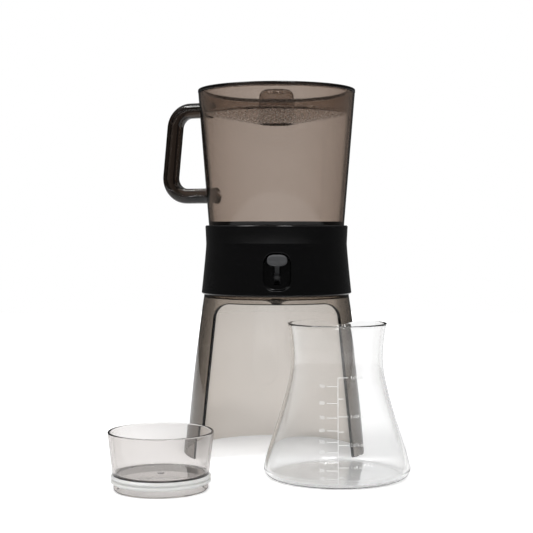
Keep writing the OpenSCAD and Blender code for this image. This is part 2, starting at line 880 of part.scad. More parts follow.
flange_z = container_rim_z;
flange_top_z = flange_z + flange_t;
flange_r = container_rim_r + flange_over;
dish_top_r = container_rim_r - container_wall - 2 * pass_gap;
dish_z = flange_top_z - dish_depth;
knob_top_z = flange_top_z + knob_rise;
dish_in_r = dish_floor_r - dish_wall;
knob_in_foot_r = knob_foot_r - dish_wall;

function dish_floor_z(r) = dish_z - (dish_in_r - r) * tan(dish_slope);

knob_outer = concat(
  [[knob_foot_r, dish_floor_z(knob_foot_r)]],
  arc([knob_top_r - knob_round, knob_top_z - knob_round], knob_round, 0, 90),
  [[0, knob_top_z]]
);
knob_inner = concat(
  [[0, knob_top_z - dish_wall]],
  arc([knob_top_r - knob_round, knob_top_z - knob_round], knob_round - dish_wall, 90, 0),
  [[knob_in_foot_r, dish_floor_z(knob_in_foot_r) - dish_wall]]
);

module rainmaker() {
  color(smoke)
    difference() {
      rotate_extrude()
        polygon(concat(
          [[flange_r, flange_z], [flange_r, flange_top_z]],
          [[dish_top_r - dish_wall, flange_top_z], [dish_in_r, dish_z]],
          knob_outer,
          knob_inner,
          [[dish_floor_r - dish_wall, dish_z - dish_wall], [dish_floor_r, dish_z - dish_wall * 0.4]],
          [[dish_top_r, flange_z]]
        ));
      for (ring = [0:drip_rings - 1])
        for (k = [0:drip_count - 1])
          rotate((k + ring % 2 / 2) * 360 / drip_count)
            translate([drip_ring_r + ring * drip_pitch, 0, dish_floor_z(drip_ring_r) - 2 * dish_wall])
              cylinder(r = drip_r, h = dish_depth, $fn = 6);
    }
}

// ---- Carafe

carafe_base_r = carafe_r - carafe_belly_h;
carafe_side = [
  for (i = [0:curve_steps])
    bezier4(
      [carafe_r, carafe_belly_h],
      [carafe_r - 4.4, mix(carafe_belly_h, carafe_neck_h, 0.22)],
      [carafe_neck_r, mix(carafe_belly_h, carafe_neck_h, 0.71)],
      [carafe_neck_r, carafe_neck_h],
      i / curve_steps
    )
];
carafe_flare = [
  for (i = [1:arc_steps])
    bezier3(
      [carafe_neck_r, carafe_neck_h],
      [carafe_neck_r + 0.6, mix(carafe_neck_h, carafe_h, 0.6)],
      [carafe_rim_r - glass_wall * 0.3, carafe_h - glass_wall / 2],
      i / arc_steps
    )
];
carafe_outer = concat(
  arc([carafe_base_r, carafe_belly_h], carafe_belly_h, -90, 0),
  [for (i = [1:curve_steps]) carafe_side[i]],
  carafe_flare
);
carafe_rim = [
  [carafe_rim_r, carafe_h - glass_wall / 4],
  [carafe_rim_r - glass_wall * 0.35, carafe_h],
  [carafe_rim_r - glass_wall, carafe_h]
];
carafe_inner = concat(
  reversed(inward(concat([for (i = [1:curve_steps]) carafe_side[i]], carafe_flare), glass_wall)),
  arc([carafe_base_r, carafe_belly_h], carafe_belly_h - glass_wall, 0, -60),
  [[carafe_base_r - glass_wall, glass_base_t]],
  [[0, glass_base_t]]
);

// Radius of the round dip whose chord is the lip's width
lip_dip_r = (lip_w ^ 2 / 4 + lip_dip ^ 2) / (2 * lip_dip);

module carafe_glass() {
  color(glass)
    translate([carafe_x, -carafe_y, 0])
      difference() {
        rotate_extrude()
          polygon(concat([[0, 0]], carafe_outer, carafe_rim, carafe_inner));
        translate([0, 0, carafe_h - lip_dip + lip_dip_r])
          rotate([-90, 0, 0])
            cylinder(r = lip_dip_r, h = carafe_rim_r + cut);
      }
}

// ---- Stopper

ring_z = stopper_floor_h - 0.6 - seal_h;
shelf_z = stopper_floor_h - 0.6;
groove_in_r = stopper_skirt_r - seal_groove;
skirt_in_r = stopper_skirt_r - stopper_wall - seal_groove;
skirt_edge = 1.6;

module stopper_cup() {
  color(clear_smoke)
    translate([-stopper_x, -stopper_y, 0])
      rotate_extrude()
        polygon([
          [0, stopper_floor_h],
          [stopper_waist_r - stopper_wall, stopper_floor_h],
          [stopper_rim_r - stopper_wall, stopper_h],
          [stopper_rim_r, stopper_h],
          [stopper_waist_r, stopper_floor_h + 1.2],
          [stopper_waist_r, shelf_z],
          [groove_in_r, shelf_z],
          [groove_in_r, ring_z],
          [stopper_skirt_r, ring_z],
          [stopper_skirt_r, skirt_edge],
          [stopper_skirt_r - skirt_edge, 0],
          [skirt_in_r, 0],
          [skirt_in_r, stopper_floor_h - stopper_wall],
          [0, stopper_floor_h - stopper_wall]
        ]);
}

module stopper_seal() {
  lip_in_r = seal_lip_r - 1;
  color(silicone)
    translate([-stopper_x, -stopper_y, ring_z])
      rotate_extrude()
        polygon([
          [groove_in_r, 0],
          [lip_in_r, 0],
          [seal_lip_r, seal_h * 0.17],
          [seal_lip_r, seal_h * 0.32],
          [lip_in_r, seal_h * 0.46],
          [lip_in_r, seal_h * 0.54],
          [seal_lip_r, seal_h * 0.68],
          [seal_lip_r, seal_h * 0.83],
          [lip_in_r, seal_h],
          [groove_in_r, seal_h]
        ]);
}

stand_shell();
container();
handle();
band_cover();
base_pan();
spout();
base_screws();
lever_pin();
switch_lever();
switch_paddle();
crank_pin();
lift_bar();
valve_stem();
valve_plug();
stem_clip();
filter_frame();
filter_mesh();
filter_seal();
rainmaker();
carafe_glass();
stopper_cup();
stopper_seal();
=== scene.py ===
"""Looks of the smoked cold brew maker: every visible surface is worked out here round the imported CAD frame."""

import bmesh
import bpy
import numpy as np
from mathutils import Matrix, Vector


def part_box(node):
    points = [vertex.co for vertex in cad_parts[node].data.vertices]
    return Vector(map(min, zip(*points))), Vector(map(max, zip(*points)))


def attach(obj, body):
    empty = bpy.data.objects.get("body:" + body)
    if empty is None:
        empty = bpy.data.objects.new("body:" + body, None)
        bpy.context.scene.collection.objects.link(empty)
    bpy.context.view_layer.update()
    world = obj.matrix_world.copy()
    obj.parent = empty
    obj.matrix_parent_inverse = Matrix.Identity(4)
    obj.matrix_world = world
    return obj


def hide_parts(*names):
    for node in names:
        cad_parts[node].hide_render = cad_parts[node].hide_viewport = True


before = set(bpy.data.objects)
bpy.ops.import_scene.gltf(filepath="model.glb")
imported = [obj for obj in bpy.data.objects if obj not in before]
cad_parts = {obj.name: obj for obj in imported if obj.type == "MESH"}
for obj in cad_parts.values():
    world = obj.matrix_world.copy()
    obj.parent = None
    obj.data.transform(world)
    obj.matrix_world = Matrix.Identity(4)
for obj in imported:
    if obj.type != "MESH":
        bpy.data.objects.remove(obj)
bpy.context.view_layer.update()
scene = bpy.context.scene
scene.view_settings.view_transform = "Standard"

# ---- Camera
# A portrait lens from 1.3 m in front of the stand, a little above the collar and tipped down by under two
# degrees, which is where the ellipses of the photographed rims put it.

camera = bpy.data.objects.new("camera", bpy.data.cameras.new("camera"))
camera.location = (-0.0107, -1.316, 0.238)
camera.rotation_euler = (np.radians(90 - 1.793), 0, 0)
camera.data.lens = 83.08
camera.data.sensor_width = 36
scene.collection.objects.link(camera)
scene.camera = camera

# ---- Stand
# One injection moulded bell of smoked clear plastic, 3.2 mm thick, with a leaning arch cut through its front
# and a raised deck round a drip hole. It is loose: it stands on its C-shaped foot, and the brewer on its deck.

TURN = 2 * np.pi


def rounded(corners, steps=6, closed=False, hold=0.3):
    """Outline through corners given as (radius, height, fillet). Each corner gives way to a circular arc that
    touches both of its sides: a rational quadratic curve whose middle weight is the cosine of half the turn. A
    point on each straight side, at most hold from the arc, keeps that side's shading flat."""
    corners = np.array(corners, float)
    point, fillet = corners[:, :2], corners[:, 2]
    back, on = np.roll(point, 1, 0) - point, np.roll(point, -1, 0) - point
    if not closed:
        back[0], on[-1] = -on[0], -back[-1]
    back_l, on_l = np.hypot(*back.T)[:, None], np.hypot(*on.T)[:, None]
    half = np.arccos(np.clip(-(back / back_l * on / on_l).sum(1), -1, 1))[:, None] / 2
    reach = np.minimum(fillet[:, None] * np.tan(half), 0.49 * np.minimum(back_l, on_l))
    start, end = point + back / back_l * reach, point + on / on_l * reach
    u = np.linspace(0, 1, steps + 1)[None, :, None]
    first, middle, last = (1 - u) ** 2, 2 * u * (1 - u) * np.cos(half)[:, None], u**2
    arcs = (first * start[:, None] + middle * point[:, None] + last * end[:, None]) / (first + middle + last)
    free_back = np.minimum((back_l - reach - np.roll(reach, 1, 0)) / 3, hold)
    free_on = np.minimum((on_l - reach - np.roll(reach, -1, 0)) / 3, hold)
    if not closed:
        free_back[0] = free_on[-1] = 0
    held = [(start + back / back_l * free_back)[:, None], arcs, (end + on / on_l * free_on)[:, None]]
    arcs = np.concatenate(held, 1).reshape(-1, 2)
    return np.vstack([arcs, arcs[:1]]) if closed else arcs


def band(inner, outer, low, high, fillets=(0, 0, 0, 0)):
    """The closed outline of a ring. Its fillets go from the inner foot round the outside to the inner top."""
    return rounded(list(zip((inner, outer, outer, inner), (low, low, high, high), fillets)), closed=True)


def around(radius, height, angle, centre=(0, 0)):
    """Points at a radius, height and angle about an upright axis. The angle is zero in front, on -Y, and grows
    towards +X: x is radius times its sine, y is minus radius times its cosine."""
    radius, height, angle = np.broadcast_arrays(radius, height, angle)
    return np.stack([centre[0] + radius * np.sin(angle), centre[1] - radius * np.cos(angle), height], -1)


def turned(outline, sides=128, centre=(0, 0)):
    """An outline of (radius, height) carried once round an upright axis through centre."""
    outline = np.asarray(outline, float)
    return around(outline[:, :1], outline[:, 1:], np.linspace(0, TURN, sides + 1)[None], centre)


def bend(a, b, c, steps):
    """Quadratic curve from a to c, pulled towards b, for whole rows of points at once."""
    u = np.linspace(0, 1, steps + 1).reshape((-1,) + (1,) * np.ndim(a))
    return (1 - u) ** 2 * a + 2 * u * (1 - u) * b + u**2 * c


def between(a, b, steps):
    """Straight steps from a to b, also for whole rows."""
    u = np.linspace(0, 1, steps + 1).reshape((-1,) + (1,) * np.ndim(a))
    return (1 - u) * a + u * b


def skin(name, sheets, materials, crease=40, kinds=None, loose=()):
    """One piece of closed solids from sheets of points in millimetres. Four neighbours in a sheet's grid are a
    face; sheets meet where their edge points coincide. A sheet's kind, one number or one for each row of faces,
    picks its material; loose adds points with their faces. All faces are then turned outwards."""
    points, faces, slots, used = [], [], [], 0
    for sheet, kind in zip(sheets, kinds or [0] * len(sheets)):
        rows, columns = sheet.shape[:2]
        index = used + np.arange(rows * columns).reshape(rows, columns)
        faces.append(np.stack([index[:-1, :-1], index[:-1, 1:], index[1:, 1:], index[1:, :-1]], -1).reshape(-1, 4))
        slots.append(np.broadcast_to(np.reshape(kind, (-1, 1)), (rows - 1, columns - 1)).ravel())
        points.append(sheet.reshape(-1, 3) / 1000)
        used += rows * columns
    faces = np.concatenate(faces).tolist()
    for flat, polygons in loose:
        faces += [[used + corner for corner in polygon] for polygon in polygons]
        slots.append([0] * len(polygons))
        points.append(flat / 1000)
        used += len(flat)
    mesh = bpy.data.meshes.new(name)
    mesh.from_pydata(np.concatenate(points).tolist(), [], faces)
    mesh.polygons.foreach_set("material_index", np.concatenate(slots))
    work = bmesh.new()
    work.from_mesh(mesh)
    bmesh.ops.remove_doubles(work, verts=work.verts, dist=2e-6)
    bmesh.ops.dissolve_degenerate(work, edges=work.edges, dist=1e-7)
    bmesh.ops.recalc_face_normals(work, faces=work.faces)
    work.to_mesh(mesh)
    work.free()
    mesh.shade_smooth()
    mesh.set_sharp_from_angle(angle=np.radians(crease))
    for material in materials:
        mesh.materials.append(material)
    made = bpy.data.objects.new(name, mesh)
    scene.collection.objects.link(made)
    return made


class Signal:
    """A value that varies over a surface: a node's output socket. Sums and products of signals and numbers, and
    a number less a signal, add Math nodes."""

    def __init__(self, finish, socket):
        self.finish, self.socket = finish, socket

    def by(self, operation, *values):
        return self.finish.node("ShaderNodeMath", {"operation": operation}, dict(enumerate(values)))

    def __add__(self, other):
        return self.by("ADD", self, other)

    def __rsub__(self, other):
        return self.by("SUBTRACT", other, self)

    def __mul__(self, other):
        return self.by("MULTIPLY", self, other)

    __radd__, __rmul__ = __add__, __mul__

    def step(self, low, high):
        """Smooth step from 0 at low to 1 at high."""
        ends = {"Value": self, "From Min": low, "From Max": high}
        return self.finish.node("ShaderNodeMapRange", {"interpolation_type": "SMOOTHSTEP"}, ends)


class Finish:
    """A material or a world while it is put together: its node tree, and the one method that adds a node."""

    def __init__(self, name, kind=bpy.data.materials, output="ShaderNodeOutputMaterial"):
        self.owner = kind.new(name)
        self.owner.use_nodes = True
        self.tree = self.owner.node_tree
        self.tree.nodes.clear()
        self.output = self.tree.nodes.new(output)

    def node(self, kind, settings=None, sockets=None, out=0):
        """Adds a node with its settings, then gives its sockets their values or links."""
        made = self.tree.nodes.new(kind)
        for key, value in (settings or {}).items():
            setattr(made, key, value)
        for key, value in (sockets or {}).items():
            self.feed(made.inputs[key], value)
        return Signal(self, made.outputs[out])

    def feed(self, socket, value):
        if isinstance(value, Signal):
            self.tree.links.new(value.socket, socket)
        elif np.size(value) == 3 and len(socket.default_value) == 4:
            socket.default_value = (*value, 1)
        else:
            socket.default_value = value

    def outputs(self, made, *keys):
        """Several of a node's outputs."""
        return [Signal(self, made.socket.node.outputs[key]) for key in keys]

    def spot(self):
        """Object coordinates in metres as three signals."""
        spot = self.node("ShaderNodeTexCoord", out="Object")
        return self.outputs(self.node("ShaderNodeSeparateXYZ", {}, {0: spot}), 0, 1, 2)

    def noise(self, pace, detail=2.0, roughness=0.5):
        """Noise in Object coordinates. Pace is how many of its waves a metre holds, the same or by axis."""
        spot = self.node("ShaderNodeTexCoord", out="Object")
        pace = (pace,) * 3 if np.isscalar(pace) else pace
        spot = self.node("ShaderNodeMapping", {}, {"Vector": spot, "Scale": pace})
        sockets = {"Vector": spot, "Scale": 1.0, "Detail": detail, "Roughness": roughness}
        return self.node("ShaderNodeTexNoise", {}, sockets)

    def blend(self, share, a, b):
        """Colour a where share is 0, b where it is 1."""
        return self.node("ShaderNodeMix", {"data_type": "RGBA"}, {0: share, 6: a, 7: b}, 2)

    def mottled(self, share, shade, low, high):
        """A colour from low times a shade, where share is 0, to high times it, where share is 1."""
        return self.blend(share, np.array(shade) * low, np.minimum(np.array(shade) * high, 1))

    def grey(self, level):
        return self.node("ShaderNodeCombineColor", {}, {0: level, 1: level, 2: level})

    def bump(self, height, strength, depth):
        return self.node("ShaderNodeBump", {}, {"Strength": strength, "Distance": depth, "Height": height})

    def dyed(self, colour, density):
        """Fills the piece with a dye: an even absorption through its thickness."""
        dye = self.node("ShaderNodeVolumeAbsorption", {}, {"Color": colour, "Density": density})
        self.feed(self.output.inputs["Volume"], dye)

    def surface(self, **sockets):
        """Ends the material in one Principled surface, whose sockets are named with _ for a space."""
        made = self.node("ShaderNodeBsdfPrincipled", {}, {key.replace("_", " "): v for key, v in sockets.items()})
        self.feed(self.output.inputs["Surface"], made)
        return self.owner


def smoked_plastic(name, dye, density, shift=0.0, edges=(), shade=None):
    """Clear styrene dyed smoke brown, with faint upright flow lines and hazy patches of handling, which shift
    moves. The dye absorbs evenly through the wall; each of edges paints shade on what is seen at a slant, darkening
    it from one Facing value to another and by a share, and shade gives a signal of further places of painted shade."""
    finish = Finish(name)
    flow = finish.noise((60, 60, 5))
    haze = finish.noise((9 + shift, 9, 9), 3.0).step(0.35, 0.75)
    fine = finish.noise(900)
    slant = finish.node("ShaderNodeLayerWeight", {}, {"Blend": 0.5}, "Facing")
    # Painted shade: the colour below runs to near black where the wall is seen at a slant, and where shade marks it.
    dark = sum(slant.step(low, high) * share for low, high, share in edges)
    if shade:
        dark = haze.by("MAXIMUM", dark, shade(finish))
    finish.dyed(dye, density)
    clear = finish.blend(haze, (1.0, 1.0, 1.0), (0.965, 0.962, 0.958))
    return finish.surface(
        Base_Color=finish.blend(dark, clear, (0.006, 0.005, 0.0045)),
        Roughness=0.012 + haze * 0.022 + fine * 0.008, IOR=1.49, Transmission_Weight=1.0,
        Normal=finish.bump(flow + fine * 0.15, 0.12, 0.0004),
    )


def upright(low, high):
    """The middle, radius and upper end in mm of a round upright CAD node, from its corners."""
    return ((low.x + high.x) * 500, (low.y + high.y) * 500), (high.x - low.x) * 500, high.z * 1000


_, foot_r, deck_z = upright(*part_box("stand_shell"))
shoulder_z, shoulder_r, stand_wall, side_bow = deck_z - 4, 77.0, 3.2, 7.2
deck_r, deck_inner_r, deck_hole_r, deck_in_z, bell_bend_z = 71.5, 68.5, 18.5, deck_z - 3, 163.5
arch_foot_x, arch_lean, arch_corner, arch_r = 77.3, 0.1025, (46.456, 144.0), 16.0
edge_r, foot_edge_r = 0.8, 0.6
arch_angle = np.arctan(arch_lean)
arch_low, arch_rows, arch_bends, arch_crown = (0, 0.0008, 0.0018, 0.003, 0.0045), 44, 18, 26


def stand_radius(z, inside=0.0):
    """The stand's radius at height z: a straight lean from foot to shoulder plus a parabola's bow, less the wall
    on the inner side, with a quarter circle rounding at the foot."""
    t = z / shoulder_z
    drop = foot_edge_r - np.sqrt(np.maximum(foot_edge_r**2 - np.maximum(foot_edge_r - z, 0) ** 2, 0))
    radius = foot_r + (shoulder_r - foot_r) * t + side_bow * t * (1 - t)
    return radius - stand_wall + drop if inside else radius - drop


def arch_line(grow):
    """The arch's outline from right foot over the crown to left foot, moved outwards by grow: a leaning straight,
    closely stepped at the foot, a corner arc, the level crown, and the same mirrored. Gives x and z."""
    reach = arch_r + grow
    angle = np.linspace(arch_angle, np.pi / 2, arch_bends + 1)
    corner_x = arch_corner[0] + reach * np.cos(angle)
    corner_z = arch_corner[1] + reach * np.sin(angle)
    z = np.concatenate([arch_low, np.linspace(0.02, 1, arch_rows)]) * corner_z[0]
    x = arch_foot_x - z * arch_lean + grow / np.cos(arch_angle)
    flat = np.linspace(1, -1, arch_crown + 1)[1:-1] * arch_corner[0]
    x, z = np.concatenate([x, corner_x[1:]]), np.concatenate([z, corner_z[1:]])
    return np.concatenate([x, flat, -x[::-1]]), np.concatenate([z, flat * 0 + z[-1], z[::-1]])


def arch_edge(grow, inside, deep=0.0):
    """The arch's outline laid on the inner wall and carried straight out from the axis to the outer or inner
    wall less a depth, because the cut is square to the wall."""
    x, z = arch_line(grow)
    inner = stand_radius(z, True)
    out = (stand_radius(z, inside) - deep) / inner
    return np.stack([x * out, -np.sqrt(inner**2 - x**2) * out, z], -1)


outer_rim, inner_rim = arch_edge(edge_r, False), arch_edge(edge_r, True)
cut_face = np.concatenate([
    bend(outer_rim, arch_edge(0, False), arch_edge(0, False, edge_r), 4),
    between(arch_edge(0, False, edge_r), arch_edge(0, True, -edge_r), 2)[1:],
    bend(arch_edge(0, True, -edge_r), arch_edge(0, True), inner_rim, 4)[1:],
])
half_rows = len(arch_low) + arch_rows + arch_bends
way_round = np.concatenate([[0, 0.002], np.linspace(0.012, 0.988, 93), [0.998, 1]])
legs = []
for rim, inside in ((outer_rim, False), (inner_rim, True)):
    side = rim[:half_rows]
    start = np.arctan2(side[:, 0], -side[:, 1])[:, None]
    angle = start + (TURN - 2 * start) * way_round[None]
    legs.append(around(stand_radius(side[:, 2:], inside), side[:, 2:], angle))

crown_z, shoulder_in_z = outer_rim[half_rows, 2], shoulder_z - stand_wall
bell = rounded([
    (stand_radius(crown_z), crown_z, 0), (stand_radius(bell_bend_z), bell_bend_z, 9), (shoulder_r, shoulder_z, 1.2),
    (deck_r, shoulder_z, 0.5), (deck_r, deck_z, 0.8), (deck_hole_r, deck_z, 0.6),
    (deck_hole_r, deck_in_z, 0.6), (deck_inner_r, deck_in_z, 0.6), (deck_inner_r, shoulder_in_z, 0.3),
    (stand_radius(shoulder_in_z, True), shoulder_in_z, 0.6), (stand_radius(crown_z, True), crown_z, 0),
])


def ring_angles(rim):
    """A wall's angles all the way round at the crown's height: round the back first, then the crown."""
    leg_end = np.arctan2(rim[half_rows - 1, 0], -rim[half_rows - 1, 1])
    crown = rim[half_rows - 1:-(half_rows - 1)][::-1]
    over = TURN + np.arctan2(crown[:, 0], -crown[:, 1])
    return np.concatenate([leg_end + (TURN - 2 * leg_end) * way_round, over[1:]])


top_angles = between(ring_angles(outer_rim), ring_angles(inner_rim), len(bell) - 1)
top = around(bell[:, :1], bell[:, 1:], top_angles)
foot = between(legs[0][0], legs[1][0], len(cut_face) - 1)
column = np.arange(len(way_round))
fade = np.exp(-column / 2) * (1 - column / column[-1])
for end, share in ((0, fade), (-1, fade[::-1])):
    foot = foot + (cut_face[:, end] - foot[:, end])[:, None] * share[None, :, None]
foot[:, [0, -1]] = cut_face[:, [0, -1]]


def cut_shade(finish):
    """Painted shade on the arch's cut face: nearly black all over, a little unevenly."""
    return finish.noise(40) * 0.1 + 0.86


stand_dye = (0.50, 0.433, 0.36), 330
# Painted shade: the stand's smoke goes dark where its wall is seen at a slant, and its cut face is painted dark all
# over.
stand = skin("stand", [*legs, cut_face, top, foot], [
    smoked_plastic("stand smoke", *stand_dye, edges=((0.38, 0.54, 0.48), (0.55, 0.95, 0.50))),
    smoked_plastic("stand cut painted shade", *stand_dye, shade=cut_shade),
], kinds=[0, 0, 1, 0, 0])
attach(stand, "stand")
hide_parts("stand_shell")

# ---- Container
# The tapered jug that the grounds steep in, moulded in the same smoked plastic with a 3 mm wall. A ledge inside
# carries the filter, a short tube under the floor guides the valve's stem, and four posts take the screws.

_, jug_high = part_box("container")
rim_r, rim_z = jug_high.x * 1000, jug_high.z * 1000
jug_z, jug_foot_r, jug_wall, drain_r, tube_r, tube_z = 216.0, 70.1, 3.0, 7.5, 10.0, 199.0
floor_z, ledge_z, ledge_w = jug_z + jug_wall, 233.0, 5.5
post_ring_r, guide_top_z = 60, 203.0


def jug_radius(z):
    """The jug's outer radius grows evenly from its foot to its rim."""
    return jug_foot_r + (rim_r - jug_foot_r) * (z - jug_z) / (rim_z - jug_z)


def jug_inner(z):
    """The inner radius of the jug's wall."""
    return jug_radius(z) - jug_wall


jug_outline = rounded([
    (tube_r, tube_z, 0.5), (tube_r, jug_z, 1.5), (jug_foot_r, jug_z, 3), (rim_r, rim_z, 1.3),
    (rim_r - jug_wall, rim_z, 1.3), (jug_inner(ledge_z), ledge_z, 1), (jug_inner(ledge_z) - ledge_w, ledge_z, 0.5),
    (jug_inner(ledge_z) - ledge_w, 230.25, 0.5), (jug_inner(227.5), 225.3, 2), (jug_inner(floor_z), floor_z, 2),
    (drain_r, floor_z, 0.8), (drain_r, tube_z, 0.5),
], closed=True)
post_outline = band(inner=1.5, outer=4.5, low=178.5, high=jug_z + 1, fillets=(0, 0.4, 0, 0))
guide_outline = band(inner=2.6, outer=4.2, low=tube_z, high=guide_top_z, fillets=(0, 0.3, 0.3, 0))
post_spots = [post_ring_r * np.array([np.sin(a), -np.cos(a)]) for a in np.radians([45, 135, 225, 315])]


def rib(angle, near=4.0, far=8.6, half=0.6, low=tube_z, high=guide_top_z):
    """An upright rib that runs outwards at an angle: a flat bar as a four-sided tube with closed ends."""
    reach = np.array([near, near, far, far])[:, None]
    size = np.array([0, 1, 1, 0])[:, None]
    side = np.array([-half, half, half, -half, -half])[None] * size
    height = (low + high) / 2 + np.array([-1, -1, 1, 1, -1])[None] * (high - low) / 2 * size
    away, aside = np.array([np.sin(angle), -np.cos(angle)]), np.array([np.cos(angle), np.sin(angle)])
    flat = reach[..., None] * away + side[..., None] * aside
    return np.concatenate([flat, height[..., None]], -1)


def foot_shade(finish, clear_z=0.2452, dark_z=0.2444):
    """Painted shade on the jug's wall in front of the filter's frame: dark below a height in metres."""
    return finish.spot()[2].step(clear_z, dark_z) * 0.9


jug_dye = (0.572, 0.482, 0.410), 390
# Painted shade: the jug's smoke goes dark where its wall is seen at a slant, and foot_shade paints its foot ring
# dark.
container = skin("container", [
    turned(jug_outline, 160),
    *[turned(post_outline, 24, spot) for spot in post_spots],
    turned(guide_outline, 32),
    *[rib(a) for a in np.radians([0, 120, 240])],
], [smoked_plastic("container smoke", *jug_dye, 1.0, ((0.62, 0.82, 0.97), (0.1, 0.9, 0.1)), foot_shade)])
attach(container, "brewer")
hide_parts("container")

# ---- Handle
# A solid D of the same smoked plastic with a T-shaped section, broad on the outside and ribbed towards the
# fingers. Its two ends are welded into the jug's wall, a little to the left and behind.

handle_turn, weld, root_oval, root_spread = 23.8, 1.2, (9.2, 11.4), 5.5
handle_away = np.radians(270 - handle_turn)
handle_top_z, handle_foot_z, handle_top_reach, handle_foot_reach, handle_bend = 366.5, 273.0, 119.5, 129.0, 20.0
grip_lean = np.arctan((handle_foot_reach - handle_top_reach) / (handle_top_z - handle_foot_z))
half_section = np.array([
    (8.0, 2.8), (7.2, 6.0), (5.12, 8.6), (1.92, 10.0), (0.32, 9.6), (0.0, 6.48), (-1.92, 6.0), (-6.08, 5.52),
    (-8.0, 3.12),
])


def closed_curve(knots, steps):
    """A smooth closed curve through knots: on each span the cubic whose end slopes are half the way between the
    neighbours of the knot."""
    before, after, beyond = np.roll(knots, 1, 0), np.roll(knots, -1, 0), np.roll(knots, -2, 0)
    u = np.linspace(0, 1, steps, endpoint=False)[None, :, None]
    a, b, c, d = (k[:, None] for k in (before, knots, after, beyond))
    curve = b + 0.5 * u * (c - a + u * (2 * a - 5 * b + 4 * c - d + u * (3 * (b - c) + d - a)))
    curve = curve.reshape(-1, knots.shape[1])
    return np.vstack([curve, curve[:1]])


def half_handle(z, reach, way):
    """The handle's centre line from a root round its bend as reach, height and the section's outward angle. Way
    is 1 for the upper root and -1 for the lower."""
    turn = np.linspace(way * np.pi / 2, grip_lean, 26)
    bend_x = reach - handle_bend * np.tan((np.pi / 2 - way * grip_lean) / 2)
    arc = [bend_x + handle_bend * np.cos(turn), z - way * handle_bend + handle_bend * np.sin(turn), turn]
    arc, root = np.stack(arc, -1), np.array([jug_radius(z) - weld, z, way * np.pi / 2])
    return np.concatenate([between(root, arc[0], 12)[:-1], arc])


upper_half = half_handle(handle_top_z, handle_top_reach, 1)
lower_half = half_handle(handle_foot_z, handle_foot_reach, -1)
line = np.concatenate([upper_half, between(upper_half[-1], lower_half[-1], 18)[1:-1], lower_half[::-1]])
section = closed_curve(np.vstack([half_section, half_section[::-1] * (1, -1)]), 5)
run = np.concatenate([[0], np.cumsum(np.hypot(*np.diff(line[:, :2], axis=0).T))])
to_root = np.minimum(run, run[-1] - run)
oval_turn = np.arctan2(*(section / half_section.max(0)).T[::-1])
oval = np.stack([np.cos(oval_turn), np.sin(oval_turn)], -1) * root_oval
spread = np.exp(-((to_root / root_spread) ** 2))[:, None, None]
ring = section * (1 - spread) + oval * spread
reach = line[:, :1] + ring[..., 0] * np.cos(line[:, 2:])
height = line[:, 1:2] + ring[..., 0] * np.sin(line[:, 2:])
aside = ring[..., 1]
grip = np.stack([
    reach * np.sin(handle_away) + aside * np.cos(handle_away),
    -reach * np.cos(handle_away) + aside * np.sin(handle_away),
    height,
], -1)


def to_middle(loop, steps):
    """A closed loop of points drawn in to its middle, which closes the end of a tube."""
    return between(loop, np.broadcast_to(loop[:-1].mean(0), loop.shape), steps)


ends = [to_middle(grip[end], 2) for end in (0, -1)]
# Painted shade: the handle's smoke goes near black where it is seen at a slant.
handle_smoke = smoked_plastic("handle smoke", (0.50, 0.45, 0.41), 480, 2.0, ((0.22, 0.70, 0.95),))
handle = skin("handle", [grip, *ends], [handle_smoke], 60)
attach(handle, "brewer")
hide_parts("handle")

# ---- Collar
# The waisted collar in piano black that hides the jug's foot, the screws and the valve's linkage. It is moulded
# with an open pocket at the front for the finger, and a slot in the pocket's back lets the lever through.

*_, collar_top_z = upright(*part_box("band_cover"))
collar_z, collar_wall = deck_z - 3.7, 2.6
foot_edge, waist_r, waist_top_z, waist_in, waist_rise, waist_fall = (80.0, 169.3), 75.1, 222, 4.9, 91.4, 38.7
collar_top_r, mouth_r, mouth_z = 76.0, 72.38, collar_top_z - 2.5
pocket_w, pocket_h, pocket_r, pocket_z, pocket_y, pocket_wall = 28.0, 38.5, 11.0, 193.65, 65.4, 1.8
slot_w, slot_h, slot_z, lip_edge = 7.0, 24.0, 191.9, 0.7
patch_angle, patch_low, patch_high, patch_across, patch_up = np.radians(15.5), 171.4, 216.0, 22, 30
patch_angles = np.linspace(-patch_angle, patch_angle, patch_across + 1)
patch_z = np.linspace(patch_high, patch_low, patch_up + 1)


def collar_radius(z, wall=0.0):
    """The collar's radius at height z less a wall, from a quadratic curve up to an upright end at the waist: its
    height is the foot's plus rise times t less fall times t squared, solved for t, and its radius the waist's
    plus the square of 1 - t times what the waist is drawn in."""
    rise = np.minimum(z, waist_top_z) - foot_edge[1]
    t = (waist_rise - np.sqrt(waist_rise**2 - 4 * waist_fall * rise)) / (2 * waist_fall)
    return waist_r + waist_in * (1 - t) ** 2 - wall


def window(direction, width, height, corner):
    """Where rays from the middle of a round-cornered rectangle cross its edge."""
    d = np.abs(direction) + 1e-12
    flat = np.array([width / 2 - corner, height / 2 - corner])
    along = (d * flat).sum(-1)
    on_corner = along + np.sqrt(np.maximum(along**2 - (flat**2).sum() + corner**2, 0))
    on_side, on_top = width / 2 / d[:, 0], height / 2 / d[:, 1]
    reach = np.where(on_side * d[:, 1] <= flat[1], on_side, np.where(on_top * d[:, 0] <= flat[0], on_top, on_corner))
    return direction * reach[:, None]


def patch_border(wall):
    """The edge of the collar's front patch on one of its walls as x and z, once round from the upper left."""
    right, left = [patch_angle] * (patch_up - 1), [-patch_angle] * patch_up
    angles = np.concatenate([patch_angles, right, patch_angles[::-1], left])
    above, below = [patch_high] * (patch_across + 1), [patch_low] * (patch_across + 1)
    heights = np.concatenate([above, patch_z[1:-1], below, patch_z[::-1][1:]])
    return np.stack([collar_radius(heights, wall) * np.sin(angles), heights], -1)


middle, back_r = np.array([0, pocket_z]), 2.0
ray = patch_border(0) - middle
ray = ray / np.hypot(*ray.T)[:, None]


def pocket_edge(grow):
    """The pocket's edge moved outwards by grow, as x and z."""
    return middle + window(ray, pocket_w + 2 * grow, pocket_h + 2 * grow, pocket_r + grow)


